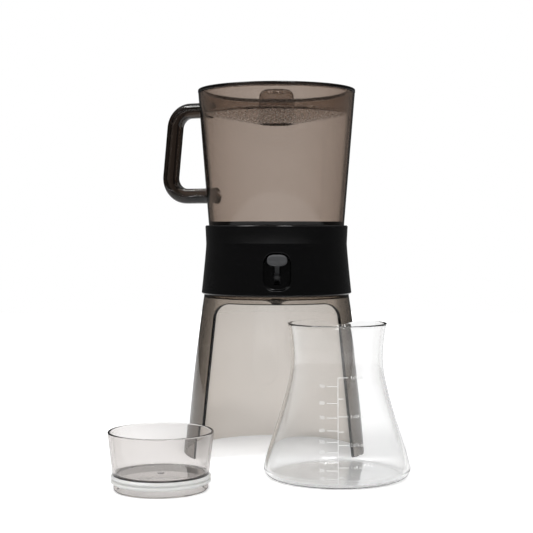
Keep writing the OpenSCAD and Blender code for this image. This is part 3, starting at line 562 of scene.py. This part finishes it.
def on_wall(flat, wall, deep=0.0):
    """Points given as x and z, laid on one of the collar's walls from the front."""
    y = -np.sqrt(collar_radius(flat[..., 1], wall) ** 2 - flat[..., 0] ** 2) + deep
    return np.stack([flat[..., 0], y, flat[..., 1]], -1)


def at_depth(flat, y):
    """Points given as x and z, laid upright at a distance in front of the axis."""
    return np.stack([flat[..., 0], np.full(flat.shape[:-1], -y), flat[..., 1]], -1)


slot_edge = np.array([0, slot_z]) + window(ray, slot_w, slot_h, 1.0)
mouth, sill = on_wall(pocket_edge(0), 0), on_wall(pocket_edge(0), 0, lip_edge)
back, before_back = at_depth(pocket_edge(0), pocket_y), at_depth(pocket_edge(0), pocket_y + back_r)
pocket = np.concatenate([
    on_wall(between(patch_border(0), pocket_edge(lip_edge), 5), 0),
    bend(on_wall(pocket_edge(lip_edge), 0), mouth, sill, 4)[1:],
    between(sill, before_back, 4)[1:],
    bend(before_back, back, at_depth(pocket_edge(-back_r), pocket_y), 4)[1:],
    at_depth(between(pocket_edge(-back_r), slot_edge, 5), pocket_y)[1:],
    at_depth(between(slot_edge, pocket_edge(pocket_wall), 1), pocket_y - pocket_wall),
    on_wall(between(pocket_edge(pocket_wall), patch_border(collar_wall), 4), collar_wall),
])
rest_angles = np.linspace(patch_angle, TURN - patch_angle, 121)
full_angles = np.concatenate([patch_angles, rest_angles[1:]])
sides = [
    around(collar_radius(patch_z, wall)[:, None], patch_z[:, None], rest_angles[None]) for wall in (0, collar_wall)
]
foot_outline = rounded([
    (collar_radius(patch_low, collar_wall), patch_low, 0), (collar_radius(169.4, collar_wall) - 0.2, 169.4, 0),
    (78.6 - collar_wall, collar_z, 0.3), (78.6, collar_z, 0.4), (*foot_edge, 0.9),
    (collar_radius(patch_low), patch_low, 0),
])
waist_z = np.linspace(patch_high, waist_top_z, 7)
upper_outline = np.vstack([
    np.stack([collar_radius(waist_z), waist_z], -1),
    rounded([
        (waist_r, waist_top_z, 0), (collar_top_r, collar_top_z, 1.5), (mouth_r, collar_top_z, 0.6),
        (mouth_r, mouth_z, 0.3), (73.4, mouth_z, 0.3), (waist_r - collar_wall, waist_top_z, 0),
    ]),
    np.stack([collar_radius(waist_z[::-1], collar_wall), waist_z[::-1]], -1),
])
ledge_gap, ledge_outline = np.radians(17), band(inner=54, outer=75.6, low=176.5, high=178.5)
clamp_ledge = around(ledge_outline[:, :1], ledge_outline[:, 1:], np.linspace(ledge_gap, TURN - ledge_gap, 91)[None])
ledge_ends = [to_middle(clamp_ledge[:, end], 1) for end in (0, -1)]


def piano_black(name, roughness=0.07):
    """Dense black plastic off a polished tool: a clear reflection that a fine ripple and a little dust soften."""
    finish = Finish(name)
    ripple = finish.noise(25)
    dust = finish.noise(1400).step(0.66, 0.8)
    wear = finish.noise((12, 12, 30), 4.0).step(0.45, 0.8)
    return finish.surface(
        Base_Color=finish.blend(dust * 0.4, (0.0030, 0.0030, 0.0032), (0.02, 0.02, 0.021)),
        Roughness=roughness + wear * 0.05 + dust * 0.08, IOR=1.4, Coat_Weight=0.10 + wear * -0.06,
        Coat_Roughness=0.03, Normal=finish.bump(ripple, 0.05, 0.001),
    )


collar = skin("collar", [
    pocket, *sides, around(foot_outline[:, :1], foot_outline[:, 1:], full_angles[None]),
    around(upper_outline[:, :1], upper_outline[:, 1:], full_angles[None]), clamp_ledge, *ledge_ends,
], [piano_black("collar black")])
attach(collar, "brewer")
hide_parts("band_cover")

# ---- Base pan, drip bowl and screws
# The black pan closes the collar from below and carries the lever's pin between two ears; four steel screws pull
# it up against the jug's posts. The drip bowl snaps into its middle and hangs through the stand's hole.

bowl_outline = rounded([
    (15, 179.6, 0.5), (17, 179.6, 0.5), (17, 178.3, 0.2), (21, 178.3, 0.4), (21, 176.5, 0), (17, 176.5, 0.3),
    (17, 164.72, 6), (14.8, 161.69, 5), (8.46, 158.66, 5), (5.53, 157.14, 3), (4.8, 156.3, 0.4), (3.4, 156.3, 0.4),
    (3.4, 158.3, 1), (7.34, 160.85, 4), (13.38, 164.22, 4), (15, 166.72, 4),
], closed=True)
drip_bowl = skin("drip_bowl", [turned(bowl_outline, 72)], [piano_black("bowl black", 0.16)])
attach(drip_bowl, "brewer")
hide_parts("spout")


def moulded(name, shade, roughness, grain=0.25):
    """Moulded plastic or rubber: a fine spark-eroded grain, slightly blotched in colour and gloss."""
    finish = Finish(name)
    grit, blotch = finish.noise(2600, 3.0, 0.6), finish.noise(70, 3.0)
    return finish.surface(
        Base_Color=finish.mottled(blotch, shade, 0.86, 1.12),
        Roughness=roughness - 0.08 + blotch * 0.12 + grit * 0.05, IOR=1.48,
        Normal=finish.bump(grit, grain, 0.0001),
    )


def steel(name, pace=(1500, 1500, 40)):
    """Satin stainless steel: fine drawn lines along the piece, rougher from line to line, and a faint stain."""
    finish = Finish(name)
    lines, stain = finish.noise(pace, 3.0, 0.7), finish.noise(90, 3.0)
    return finish.surface(
        Base_Color=finish.blend(stain, (0.52, 0.52, 0.53), (0.68, 0.68, 0.69)), Metallic=1.0,
        Roughness=0.22 + lines * 0.16 + stain * 0.05, Normal=finish.bump(lines, 0.15, 0.00005),
    )


def dress(node, material):
    """Gives its material to a CAD node that keeps its own mesh."""
    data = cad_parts[node].data
    data.materials.clear()
    data.materials.append(material)


dress("base_pan", moulded("pan black", (0.018, 0.018, 0.019), 0.38))
dress("base_screws", steel("screw steel"))
for pin in ("lever_pin", "crank_pin"):
    dress(pin, steel(f"{pin} steel", (40, 1500, 1500)))

# ---- Switch
# A charcoal lever on a steel pin. Its stem comes out through the slot and ends in a soft finger pad with a
# crease across the middle; inside, its crank lifts the valve's bar when the pad is pressed down.

pad_y, pad_z, pad_w, pad_h, pad_d = -75.5, 205.2, 20.6, 11.9, 7.0


def pad_face(across=48, rings=16):
    """The finger pad: rings of a squarish oval. Ring t from -1 to 1 lies at depth pad_d/2 times t, its size falls
    as a steep power of t, and a level groove crosses the front."""
    t = np.sin(np.linspace(-np.pi / 2, np.pi / 2, rings + 1))[:, None]
    angle = np.linspace(0, TURN, across + 1)[None]
    size = (1 - np.abs(t) ** 5) ** (1 / 3.2)
    x = size * pad_w / 2 * np.sign(np.cos(angle)) * np.abs(np.cos(angle)) ** (2 / 2.9)
    z = size * pad_h / 2 * np.sign(np.sin(angle)) * np.abs(np.sin(angle)) ** (2 / 2.5)
    y = t * pad_d / 2 * np.ones_like(x)
    groove = 0.8 * np.exp(-((z / 1.5) ** 2)) * np.clip(-t, 0, 1) ** 2 * np.clip(1 - (2 * x / pad_w) ** 6, 0, 1)
    return np.stack([x, pad_y + y + groove, pad_z + z], -1)


finger_pad = skin("finger_pad", [pad_face()], [moulded("soft charcoal", (0.052, 0.053, 0.056), 0.52, 0.4)], 70)
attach(finger_pad, "switch")
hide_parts("switch_paddle")
dress("switch_lever", moulded("lever grey", (0.055, 0.056, 0.058), 0.42))

# ---- Valve
# Inside the collar a forked bar rides on the crank's pin and carries the valve's stem up the drain tube; a clip
# holds the two together. The silicone plug on the stem seals the hole in the jug's floor by its weight.

dress("lift_bar", moulded("bar grey", (0.10, 0.10, 0.104), 0.45))
dress("valve_stem", moulded("stem grey", (0.12, 0.12, 0.124), 0.4))
dress("stem_clip", steel("clip steel"))
stem_r, stem_top_z, plug_r, plug_top_z = 2.5, 222, 11, 225
plug_outline = rounded([
    (0, stem_top_z, 0), (stem_r, stem_top_z, 0), (stem_r, floor_z, 0), (plug_r, floor_z, 0.5), (plug_r, 221.1, 1),
    (9.46, 223.08, 4), (5.5, 224.64, 8), (0, plug_top_z, 0),
])


def silicone(name, shade=(0.80, 0.80, 0.785)):
    """Translucent white silicone, matt from its mould, with a waxy glow just under the skin and fine lint."""
    finish = Finish(name)
    cloud, lint = finish.noise(120, 3.0), finish.noise(1800)
    return finish.surface(
        Base_Color=finish.mottled(cloud, shade, 0.95, 1.05), Roughness=0.36 + cloud * 0.1 + lint * 0.06, IOR=1.42,
        Subsurface_Weight=0.35, Subsurface_Radius=(0.004, 0.004, 0.0035), Subsurface_Scale=1.0,
        Normal=finish.bump(lint, 0.15, 0.0001),
    )


valve_plug = skin("valve_plug", [turned(plug_outline, 64)], [silicone("plug silicone", (0.62, 0.62, 0.60))])
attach(valve_plug, "valve")
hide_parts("valve_plug")

# ---- Filter
# A round black frame with six spokes under a disc of woven steel mesh, and a silicone ring in its groove that
# seals against the jug's wall. It drops onto the jug's ledge and lifts out to be rinsed.

dress("filter_frame", moulded("frame black", (0.012, 0.012, 0.0125), 0.4))


def woven_mesh(name, pitch=0.0006):
    """Plain weave of steel wire: two crossing sine waves raise and lower the surface in turn, and where both are
    low the square openings let the light through."""
    finish = Finish(name)
    warp, weft = (along.by("SINE", along * (TURN / pitch)) * 0.5 + 0.5 for along in finish.spot()[:2])
    wire, stain = warp.by("MAXIMUM", warp, weft), finish.noise(60, 3.0)
    return finish.surface(
        Base_Color=finish.blend(stain, (0.40, 0.39, 0.38), (0.58, 0.57, 0.56)), Metallic=1.0,
        Roughness=0.34 + stain * 0.12, Alpha=0.25 + wire.step(0.3, 0.6) * 0.75,
        Normal=finish.bump(wire, 0.5, 0.0002),
    )


mesh_r, mesh_low, mesh_high = 60.56, 235.0, 235.5
cloth_outline = rounded([(0, mesh_low, 0), (mesh_r, mesh_low, 0.1), (mesh_r, mesh_high, 0.1), (0, mesh_high, 0)])
filter_cloth = skin("filter_cloth", [turned(cloth_outline, 96)], [woven_mesh("steel weave")])
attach(filter_cloth, "filter")
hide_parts("filter_mesh")
ring_outline = band(inner=66.2, outer=68.5, low=237.5, high=240.0, fillets=(0.3, 0.9, 0.9, 0.3))
seal_ring = skin("filter_seal_ring", [turned(ring_outline)], [silicone("filter silicone", (0.55, 0.55, 0.54))])
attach(seal_ring, "filter")
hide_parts("filter_seal")

# ---- Rainmaker
# The smoked dish that spreads the water over the grounds, hung from the jug's rim by its flange. Its sloping floor
# has rings of drilled holes, and its middle rises to a hollow knob to lift it out by.

_, flange_r, knob_top_z = upright(*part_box("rainmaker"))
dish_sides, ring_first, ring_pitch, ring_count, ring_holes = 132, 24.6, 5.92, 8, 33
hole_r, hole_sink, hole_lip_r = 0.8, 0.35, 1.45
dish_slope, dish_wall, dish_floor_edge = np.tan(np.radians(10.6)), 2.4, (73.1, 360.8)
knob_r, knob_foot_r, knob_in_r, knob_in_foot_r, flange_top_z = 18.2, 19.5, 15.8, 17.1, rim_z + 3.5


def dish_floor(r):
    """Height of the dish's floor, which falls evenly from its edge towards the knob."""
    return dish_floor_edge[1] - (dish_floor_edge[0] - r) * dish_slope


def drilled(depth, sink=0.0):
    """The dish's drilled floor at a depth below its top face: a cell round every hole, from the hole's edge, made
    wider by sink, over a round lip to a border in four steps a side, where neighbouring cells meet."""
    side = np.linspace(-1, 1, 5)
    u = np.concatenate([side, np.ones(3), side[::-1], -np.ones(4)])
    v = np.concatenate([-np.ones(5), side[1:-1], np.ones(5), side[::-1][1:]])
    ring, hole = np.meshgrid(np.arange(ring_count), np.arange(ring_holes), indexing="ij")
    r0 = (ring_first + ring_pitch * ring)[..., None]
    turn0 = ((hole + ring % 2 / 2) * TURN / ring_holes)[..., None]
    border = np.stack(np.broadcast_arrays(u * r0 * np.pi / ring_holes, v * ring_pitch / 2), -1)
    toward = border / np.hypot(border[..., 0], border[..., 1])[..., None]
    flat = np.stack([toward * (hole_r + sink), toward * hole_lip_r, border], 2)
    r, turn = r0[..., None] + flat[..., 1], turn0[..., None] + flat[..., 0] / r0[..., None]
    return around(r, dish_floor(r) - depth, turn)


upper, lower = drilled(0.0, hole_sink), drilled(dish_wall)
hole_walls = np.stack([upper[:, :, 0], lower[:, :, 0]], 2)
cells, cell_kinds = [], []
for stack, kind in ((upper, (1, 0)), (lower, 0), (hole_walls, 2)):
    cells += list(stack.reshape(-1, *stack.shape[2:]))
    cell_kinds += [kind] * (ring_count * ring_holes)
hole_in, hole_out = ring_first - ring_pitch / 2, ring_first + ring_pitch * (ring_count - 0.5)
knob_outline = rounded([
    (0, knob_top_z, 0), (knob_r, knob_top_z, 7), (knob_foot_r, dish_floor(knob_foot_r), 1.2),
    (hole_in, dish_floor(hole_in), 0),
], 10)
knob_lining = rounded([
    (0, knob_top_z - dish_wall, 0), (knob_in_r, knob_top_z - dish_wall, 4.6),
    (knob_in_foot_r, dish_floor(knob_in_foot_r) - dish_wall, 1.5), (hole_in, dish_floor(hole_in) - dish_wall, 0),
], 10)
wall_outline = rounded([
    (hole_out, dish_floor(hole_out), 0), (*dish_floor_edge, 2.2), (77.3, flange_top_z, 1.0),
    (flange_r, flange_top_z, 1.2), (flange_r, rim_z, 0.5), (79.7, rim_z, 0.4), (75.5, dish_floor_edge[1] - 0.96, 2.5),
    (73.1, dish_floor_edge[1] - dish_wall, 1.5), (hole_out, dish_floor(hole_out) - dish_wall, 0),
])


def flange_shade(finish, radii=(0.0785, 0.0795), heights=(0.3809, 0.3815)):
    """Painted shade on the dish's flange where it lies on the jug's rim: dark beyond a radius and above a height, in
    metres.
    """
    x, y, z = finish.spot()
    return (x * x + y * y).step(*(radius**2 for radius in radii)) * z.step(*heights)


def drilled_edge(name, tint, roughness):
    """The cut plastic round and in a hole, scratched by the drill: a rough skin that scatters what passes. Its
    tint is partly painted: a dark tint is painted shade round a hole's lip, a pale one is frosting with painted
    light.
    """
    finish = Finish(name)
    scratch = finish.noise((700, 700, 2600))
    return finish.surface(
        Base_Color=finish.mottled(scratch, tint, 0.9, 1.1), Roughness=roughness + scratch * 0.1, IOR=1.49,
        Normal=finish.bump(scratch, 0.2, 0.0001),
    )


dish = [turned(outline, dish_sides) for outline in (knob_outline, knob_lining, wall_outline)]
rainmaker = skin("rainmaker", [*cells, *dish], [
    # Painted shade: flange_shade darkens the flange's outer faces.
    smoked_plastic("rainmaker smoke", *jug_dye, 3.0, shade=flange_shade),
    # Painted shade: the dark hole lip. Frosted plastic with painted light: the pale hole wall, which gives each hole
    # its bright dot.
    drilled_edge("hole lip painted shade", (0.10, 0.088, 0.078), 0.25),
    drilled_edge("frosted hole wall painted light", (0.86, 0.85, 0.83), 0.45),
], kinds=[*cell_kinds, 0, 0, 0])
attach(rainmaker, "rainmaker")
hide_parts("rainmaker")

# ---- Carafe
# The borosilicate jug that the brew runs into, blown to a 2.4 mm wall with a drawn-out pour lip. It stands by
# itself on the table in front of the stand, with its lip to the back.

carafe_spot, carafe_r, carafe_h = upright(*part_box("carafe_glass"))
belly_h, neck_r, neck_h, carafe_rim_r, glass_wall, glass_base = 9.0, 43.8, 114.0, 47.8, 2.4, 3.0


def glass_side(steps_side=64, steps_flare=22):
    """The carafe's outer side from belly to rim: a cubic curve from the belly in to the neck, then a quadratic
    one out to the rim."""
    t = np.linspace(0, 1, steps_side)[:, None]
    a, b = np.array([carafe_r, belly_h]), np.array([carafe_r - 4.4, belly_h + 0.22 * (neck_h - belly_h)])
    c, d = np.array([neck_r, belly_h + 0.71 * (neck_h - belly_h)]), np.array([neck_r, neck_h])
    side = (1 - t) ** 3 * a + 3 * t * (1 - t) ** 2 * b + 3 * t**2 * (1 - t) * c + t**3 * d
    pull = np.array([neck_r + 0.6, neck_h + 0.6 * (carafe_h - neck_h)])
    return np.vstack([side, bend(d, pull, np.array([carafe_rim_r - 0.6, carafe_h - 1.2]), steps_flare)[1:]])


outer_glass = glass_side()
slope = np.gradient(outer_glass, axis=0)
inner_glass = outer_glass + np.stack([-slope[:, 1], slope[:, 0]], -1) / np.hypot(*slope.T)[:, None] * glass_wall
base_r, quarter = carafe_r - belly_h, np.linspace(0, np.pi / 2, 14)


def belly_arc(radius, turn):
    """Points on a circle about the middle of the belly's bend; turn is 0 outwards."""
    return np.stack([base_r + radius * np.cos(turn), belly_h + radius * np.sin(turn)], -1)


belly_outer = belly_arc(belly_h, np.linspace(-np.pi / 2, 0, 15))
belly_inner = belly_arc(belly_h - glass_wall, np.linspace(0, -np.pi / 2, 15))
punt = np.stack([np.linspace(0, base_r, 14), 1.1 * np.cos(quarter) ** 2], -1)
inside_floor = np.stack([np.linspace(base_r, 0, 14), glass_base - 0.6 + 0.9 * np.sin(quarter) ** 2], -1)
rim_curl = rounded([
    (*outer_glass[-1], 0), (carafe_rim_r, carafe_h - 0.2, 1.0), (carafe_rim_r - 2.2, carafe_h, 1.0),
    (*inner_glass[-1], 0),
])
upwards, downwards = (belly_outer, outer_glass, rim_curl), (inner_glass[::-1], belly_inner, inside_floor)
glass_outline = np.vstack([punt, *(part[1:] for part in (*upwards, *downwards))])
glass_angles = np.linspace(0, TURN, 161)[None]
glass_r, glass_z = glass_outline[:, :1], glass_outline[:, 1:]
near_rim = np.clip((glass_z - neck_h) / (carafe_h - neck_h), 0, 1) ** 2
lip_turn, lip_w, lip_out, lip_down = np.pi - 0.11, 0.30, 5.0, 5.6
pinch_turn, pinch_w, pinch_in = 0.52, 0.20, 1.6
lip = np.exp(-(((glass_angles - lip_turn) / lip_w) ** 2)) * near_rim
pinch = np.exp(-((np.abs(glass_angles - lip_turn) - pinch_turn) / pinch_w) ** 2) * near_rim
blown = around(glass_r + lip_out * lip - pinch_in * pinch, glass_z - lip_down * lip, glass_angles, carafe_spot)


def carafe_glass(name):
    """Clear borosilicate glass with the faintest drag lines round it and a hand's haze here and there."""
    finish = Finish(name)
    drag, haze = finish.noise((14, 14, 60)), finish.noise(22, 3.0).step(0.45, 0.8)
    return finish.surface(
        Base_Color=finish.blend(haze, (1.0, 1.0, 1.0), (0.975, 0.985, 0.98)), Roughness=0.002 + haze * 0.02,
        IOR=1.47, Transmission_Weight=1.0, Normal=finish.bump(drag, 0.04, 0.0005),
    )


carafe = skin("carafe", [blown], [carafe_glass("borosilicate")], 50)
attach(carafe, "carafe")
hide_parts("carafe_glass")

print_turn, print_gap, film, figure_h, figure_squeeze, dome_ml = -0.039, 0.02, 0.07, 4.3, (0.78, 1, 1), 14
inner_side = np.vstack([belly_inner[::-1], inner_glass[1:]])
disc_r = (inner_side[1:, 0] + inner_side[:-1, 0]) / 2
poured = np.concatenate([[0], np.cumsum(np.pi * disc_r**2 * np.diff(inner_side[:, 1]))])


def fill_height(millilitres):
    """Height that a volume fills the carafe to: the sum of the discs under it, each pi times its radius squared
    times its thickness, read backwards for the volume and the dome of the floor."""
    return np.interp((millilitres + dome_ml) * 1000, poured, inner_side[:, 1])


def stroke(a, b, steps=6, width=0.6):
    """A printed line from a to b on the flat: a low closed tube, stepped so that it bends with the glass."""
    a, b = np.array(a, float), np.array(b, float)
    way = (b - a) / np.hypot(*(b - a))
    ring = np.array([(-0.5, 0), (0.5, 0), (0.5, 1), (-0.5, 1), (-0.5, 0)])[None]
    share = np.concatenate([[0], np.linspace(0, 1, steps + 1), [1]])[:, None, None]
    size = np.concatenate([[0], np.ones(steps + 1), [0]])[:, None, None]
    ring = (ring - (0, 0.5)) * size + (0, 0.5)
    flat = a + (b - a) * share + ring[..., :1] * width * np.array([-way[1], way[0]])
    return np.concatenate([flat, ring[..., 1:] * film], -1)


def figures(words, x, height, right):
    """Figures of the plain built-in face as thin closed solids, placed on the flat by their edge and middle."""
    text = bpy.data.curves.new("figures", "FONT")
    text.body, text.size, text.extrude, text.resolution_u = words, figure_h, film / 2, 3
    text.align_x, text.align_y = "RIGHT" if right else "LEFT", "CENTER"
    made = bpy.data.meshes.new_from_object(bpy.data.objects.new("figures", text))
    flat = np.empty(len(made.vertices) * 3)
    made.vertices.foreach_get("co", flat)
    flat = flat.reshape(-1, 3) * figure_squeeze + (x, height, film / 2)
    return flat, [list(polygon.vertices) for polygon in made.polygons]


def wrapped(flat):
    """Flat print laid on the glass: its x runs round the wall at its height, its z is the film's thickness."""
    radius = np.interp(flat[..., 1], outer_glass[:, 1], outer_glass[:, 0])
    return around(radius + print_gap + flat[..., 2], flat[..., 1], print_turn + flat[..., 0] / radius, carafe_spot)


cup_ml, hundreds, cups = 236.6, np.arange(100, 901, 100), np.arange(1, 5)
strokes = [stroke((0, fill_height(30)), (0, fill_height(4 * cup_ml)), 60)]
for reach, volumes in ((-10.3, hundreds), (9.6, cup_ml * cups), (5.2, cup_ml * (cups - 0.5))):
    strokes += [stroke((0, height), (reach, height)) for height in fill_height(volumes)]
labels = [figures(str(ml), -12.4, fill_height(ml), True) for ml in hundreds]
labels += [figures(f"{n} c/{n * 8} oz", 11.6, fill_height(cup_ml * n), False) for n in cups]


def fired_enamel(name):
    """White ceramic ink fired on to the glass: nearly matt, thin in places, with the screen's fine grain."""
    finish = Finish(name)
    thin, grain = finish.noise(500, 3.0), finish.noise(4000)
    return finish.surface(
        Base_Color=finish.blend(thin, (0.80, 0.80, 0.80), (0.92, 0.92, 0.91)), Roughness=0.5 + grain * 0.15,
        IOR=1.5, Normal=finish.bump(grain, 0.2, 0.00005),
    )


scale_print = skin(
    "carafe_scale", [wrapped(line) for line in strokes], [fired_enamel("scale enamel")],
    loose=[(wrapped(flat), polygons) for flat, polygons in labels],
)
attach(scale_print, "carafe")

# ---- Stopper cup
# A nearly clear cup that closes the carafe and measures the grounds. A white silicone ring with two lips is
# stretched into the groove round its skirt, and the mould's gate is a small nub on its floor.

cup_spot, cup_rim_r, cup_h = upright(*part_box("stopper_cup"))
lip_r, lip_in_r, seal_in_r, seal_z, seal_h = 45.6, 43.9, 41.95, 6.6, 7.8
cup_outline = rounded([
    (0, 15, 0), (42, 15, 2.5), (cup_rim_r - 2.2, cup_h, 1), (cup_rim_r, cup_h, 1), (44.2, 16.2, 1.5),
    (44.2, 14.4, 0.4), (41.9, 14.4, 0.2), (41.9, seal_z, 0.2), (43.2, seal_z, 0.3), (43.2, 1.6, 0.8),
    (41.6, 0, 0.8), (40.2, 0, 0.6), (39.7, 12.8, 1.5), (0, 12.8, 0),
])
nub_outline = rounded([(0, 14.4, 0), (3.2, 14.4, 0), (3.2, 15.5, 0.4), (0, 15.6, 0)])


def clear_plastic(name, density):
    """Nearly clear plastic with a breath of the smoke dye, and the fine scuffs of a cup that is stacked."""
    finish = Finish(name)
    scuff, swirl = finish.noise((160, 160, 900), 4.0, 0.7).step(0.6, 0.8), finish.noise((30, 30, 12))
    finish.dyed((0.57, 0.52, 0.49), density)
    return finish.surface(
        Base_Color=finish.blend(scuff, (1.0, 1.0, 1.0), (0.97, 0.97, 0.965)), Roughness=0.01 + scuff * 0.05,
        IOR=1.49, Transmission_Weight=1.0, Normal=finish.bump(swirl, 0.08, 0.0004),
    )


cup_sheets = [turned(cup_outline, 128, cup_spot), turned(nub_outline, 32, cup_spot)]
stopper_cup = skin("stopper_cup", cup_sheets, [clear_plastic("cup plastic", 190)])
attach(stopper_cup, "stopper")
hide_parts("stopper_cup")

lip_ring = rounded([(r, seal_z + rise * seal_h, fillet) for r, rise, fillet in (
    (seal_in_r, 0, 0.2), (lip_in_r, 0, 0.3), (lip_r, 0.17, 0.6), (lip_r, 0.32, 0.6), (lip_in_r, 0.46, 0.4),
    (lip_in_r, 0.54, 0.4), (lip_r, 0.68, 0.6), (lip_r, 0.83, 0.6), (lip_in_r, 1, 0.3), (seal_in_r, 1, 0.2),
)], closed=True)
stopper_seal = skin("stopper_ring", [turned(lip_ring, 128, cup_spot)], [silicone("stopper silicone")], 60)
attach(stopper_seal, "stopper")
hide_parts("stopper_seal")

# ---- Table, studio and lamps
# A pale seamless table under a white studio, which the plastic shows darker from behind than the camera does,
# and two soft boxes in front, left and right, whose small bright shapes lie on the shoulders and the collar.

rays = ("Is Camera Ray", "Is Transmission Ray", "Is Glossy Ray")
table_r, far_from, far_to = 2200, 0.45, 1.5
near_seen, near_through, far_seen, far_through = 0.44, 0.31, 0.6, 0.12
white = Finish("table white")
seen, through = white.outputs(white.node("ShaderNodeLightPath"), *rays[:2])
spot = white.node("ShaderNodeTexCoord", out="Object")
near = seen * near_seen + through * near_through
far = white.node("ShaderNodeVectorMath", {"operation": "LENGTH"}, {0: spot}, 1).step(far_from, far_to)
table_white = white.surface(
    Base_Color=white.blend(white.noise(40, 3.0), (0.83, 0.83, 0.83), (0.86, 0.86, 0.86)),
    Roughness=0.9, Specular_IOR_Level=0.0, Emission_Strength=1.0,
    Emission_Color=white.grey(near + far * (seen * far_seen + through * far_through)),
)
table = skin("table", [turned([(0, 0), (0.3 * table_r, 0), (table_r, 0)], 96)], [table_white])

studio = Finish("studio", bpy.data.worlds, "ShaderNodeOutputWorld")
scene.world = studio.owner
seen, through, mirrored = studio.outputs(studio.node("ShaderNodeLightPath"), *rays)
way = studio.node("ShaderNodeTexCoord", out="Generated")
up = studio.node("ShaderNodeSeparateXYZ", {}, {0: way}, 2)
ambient, behind, mirror_low, mirror_high = 0.55, 0.93, 0.06, 0.50
mirror = mirror_low + up.step(0.3, 0.8) * mirror_high
rest = 1 - seen.by("MAXIMUM", seen, through.by("MAXIMUM", through, mirrored))
level = seen + (1 - seen) * (through * behind + (1 - through) * mirrored * mirror) + rest * ambient
air = studio.node("ShaderNodeBackground", {}, {"Color": studio.grey(level), "Strength": 1.0})
studio.feed(studio.output.inputs["Surface"], air)

box_w, box_h, box_watts, box_rise, box_away, box_aim = 0.5, 0.7, 11.0, np.radians(56), 1.7, Vector((0, 0, 0.2))
for name, azimuth in (("soft_box_left", -72), ("soft_box_right", 18)):
    lamp = bpy.data.objects.new(name, bpy.data.lights.new(name, "AREA"))
    lamp.data.shape, lamp.data.size, lamp.data.size_y, lamp.data.energy = "RECTANGLE", box_w, box_h, box_watts
    turn = np.radians(azimuth)
    away = Vector((np.cos(box_rise) * np.sin(turn), -np.cos(box_rise) * np.cos(turn), np.sin(box_rise)))
    lamp.location = away * box_away + box_aim
    lamp.rotation_euler = away.to_track_quat("Z", "Y").to_euler()
    scene.collection.objects.link(lamp)
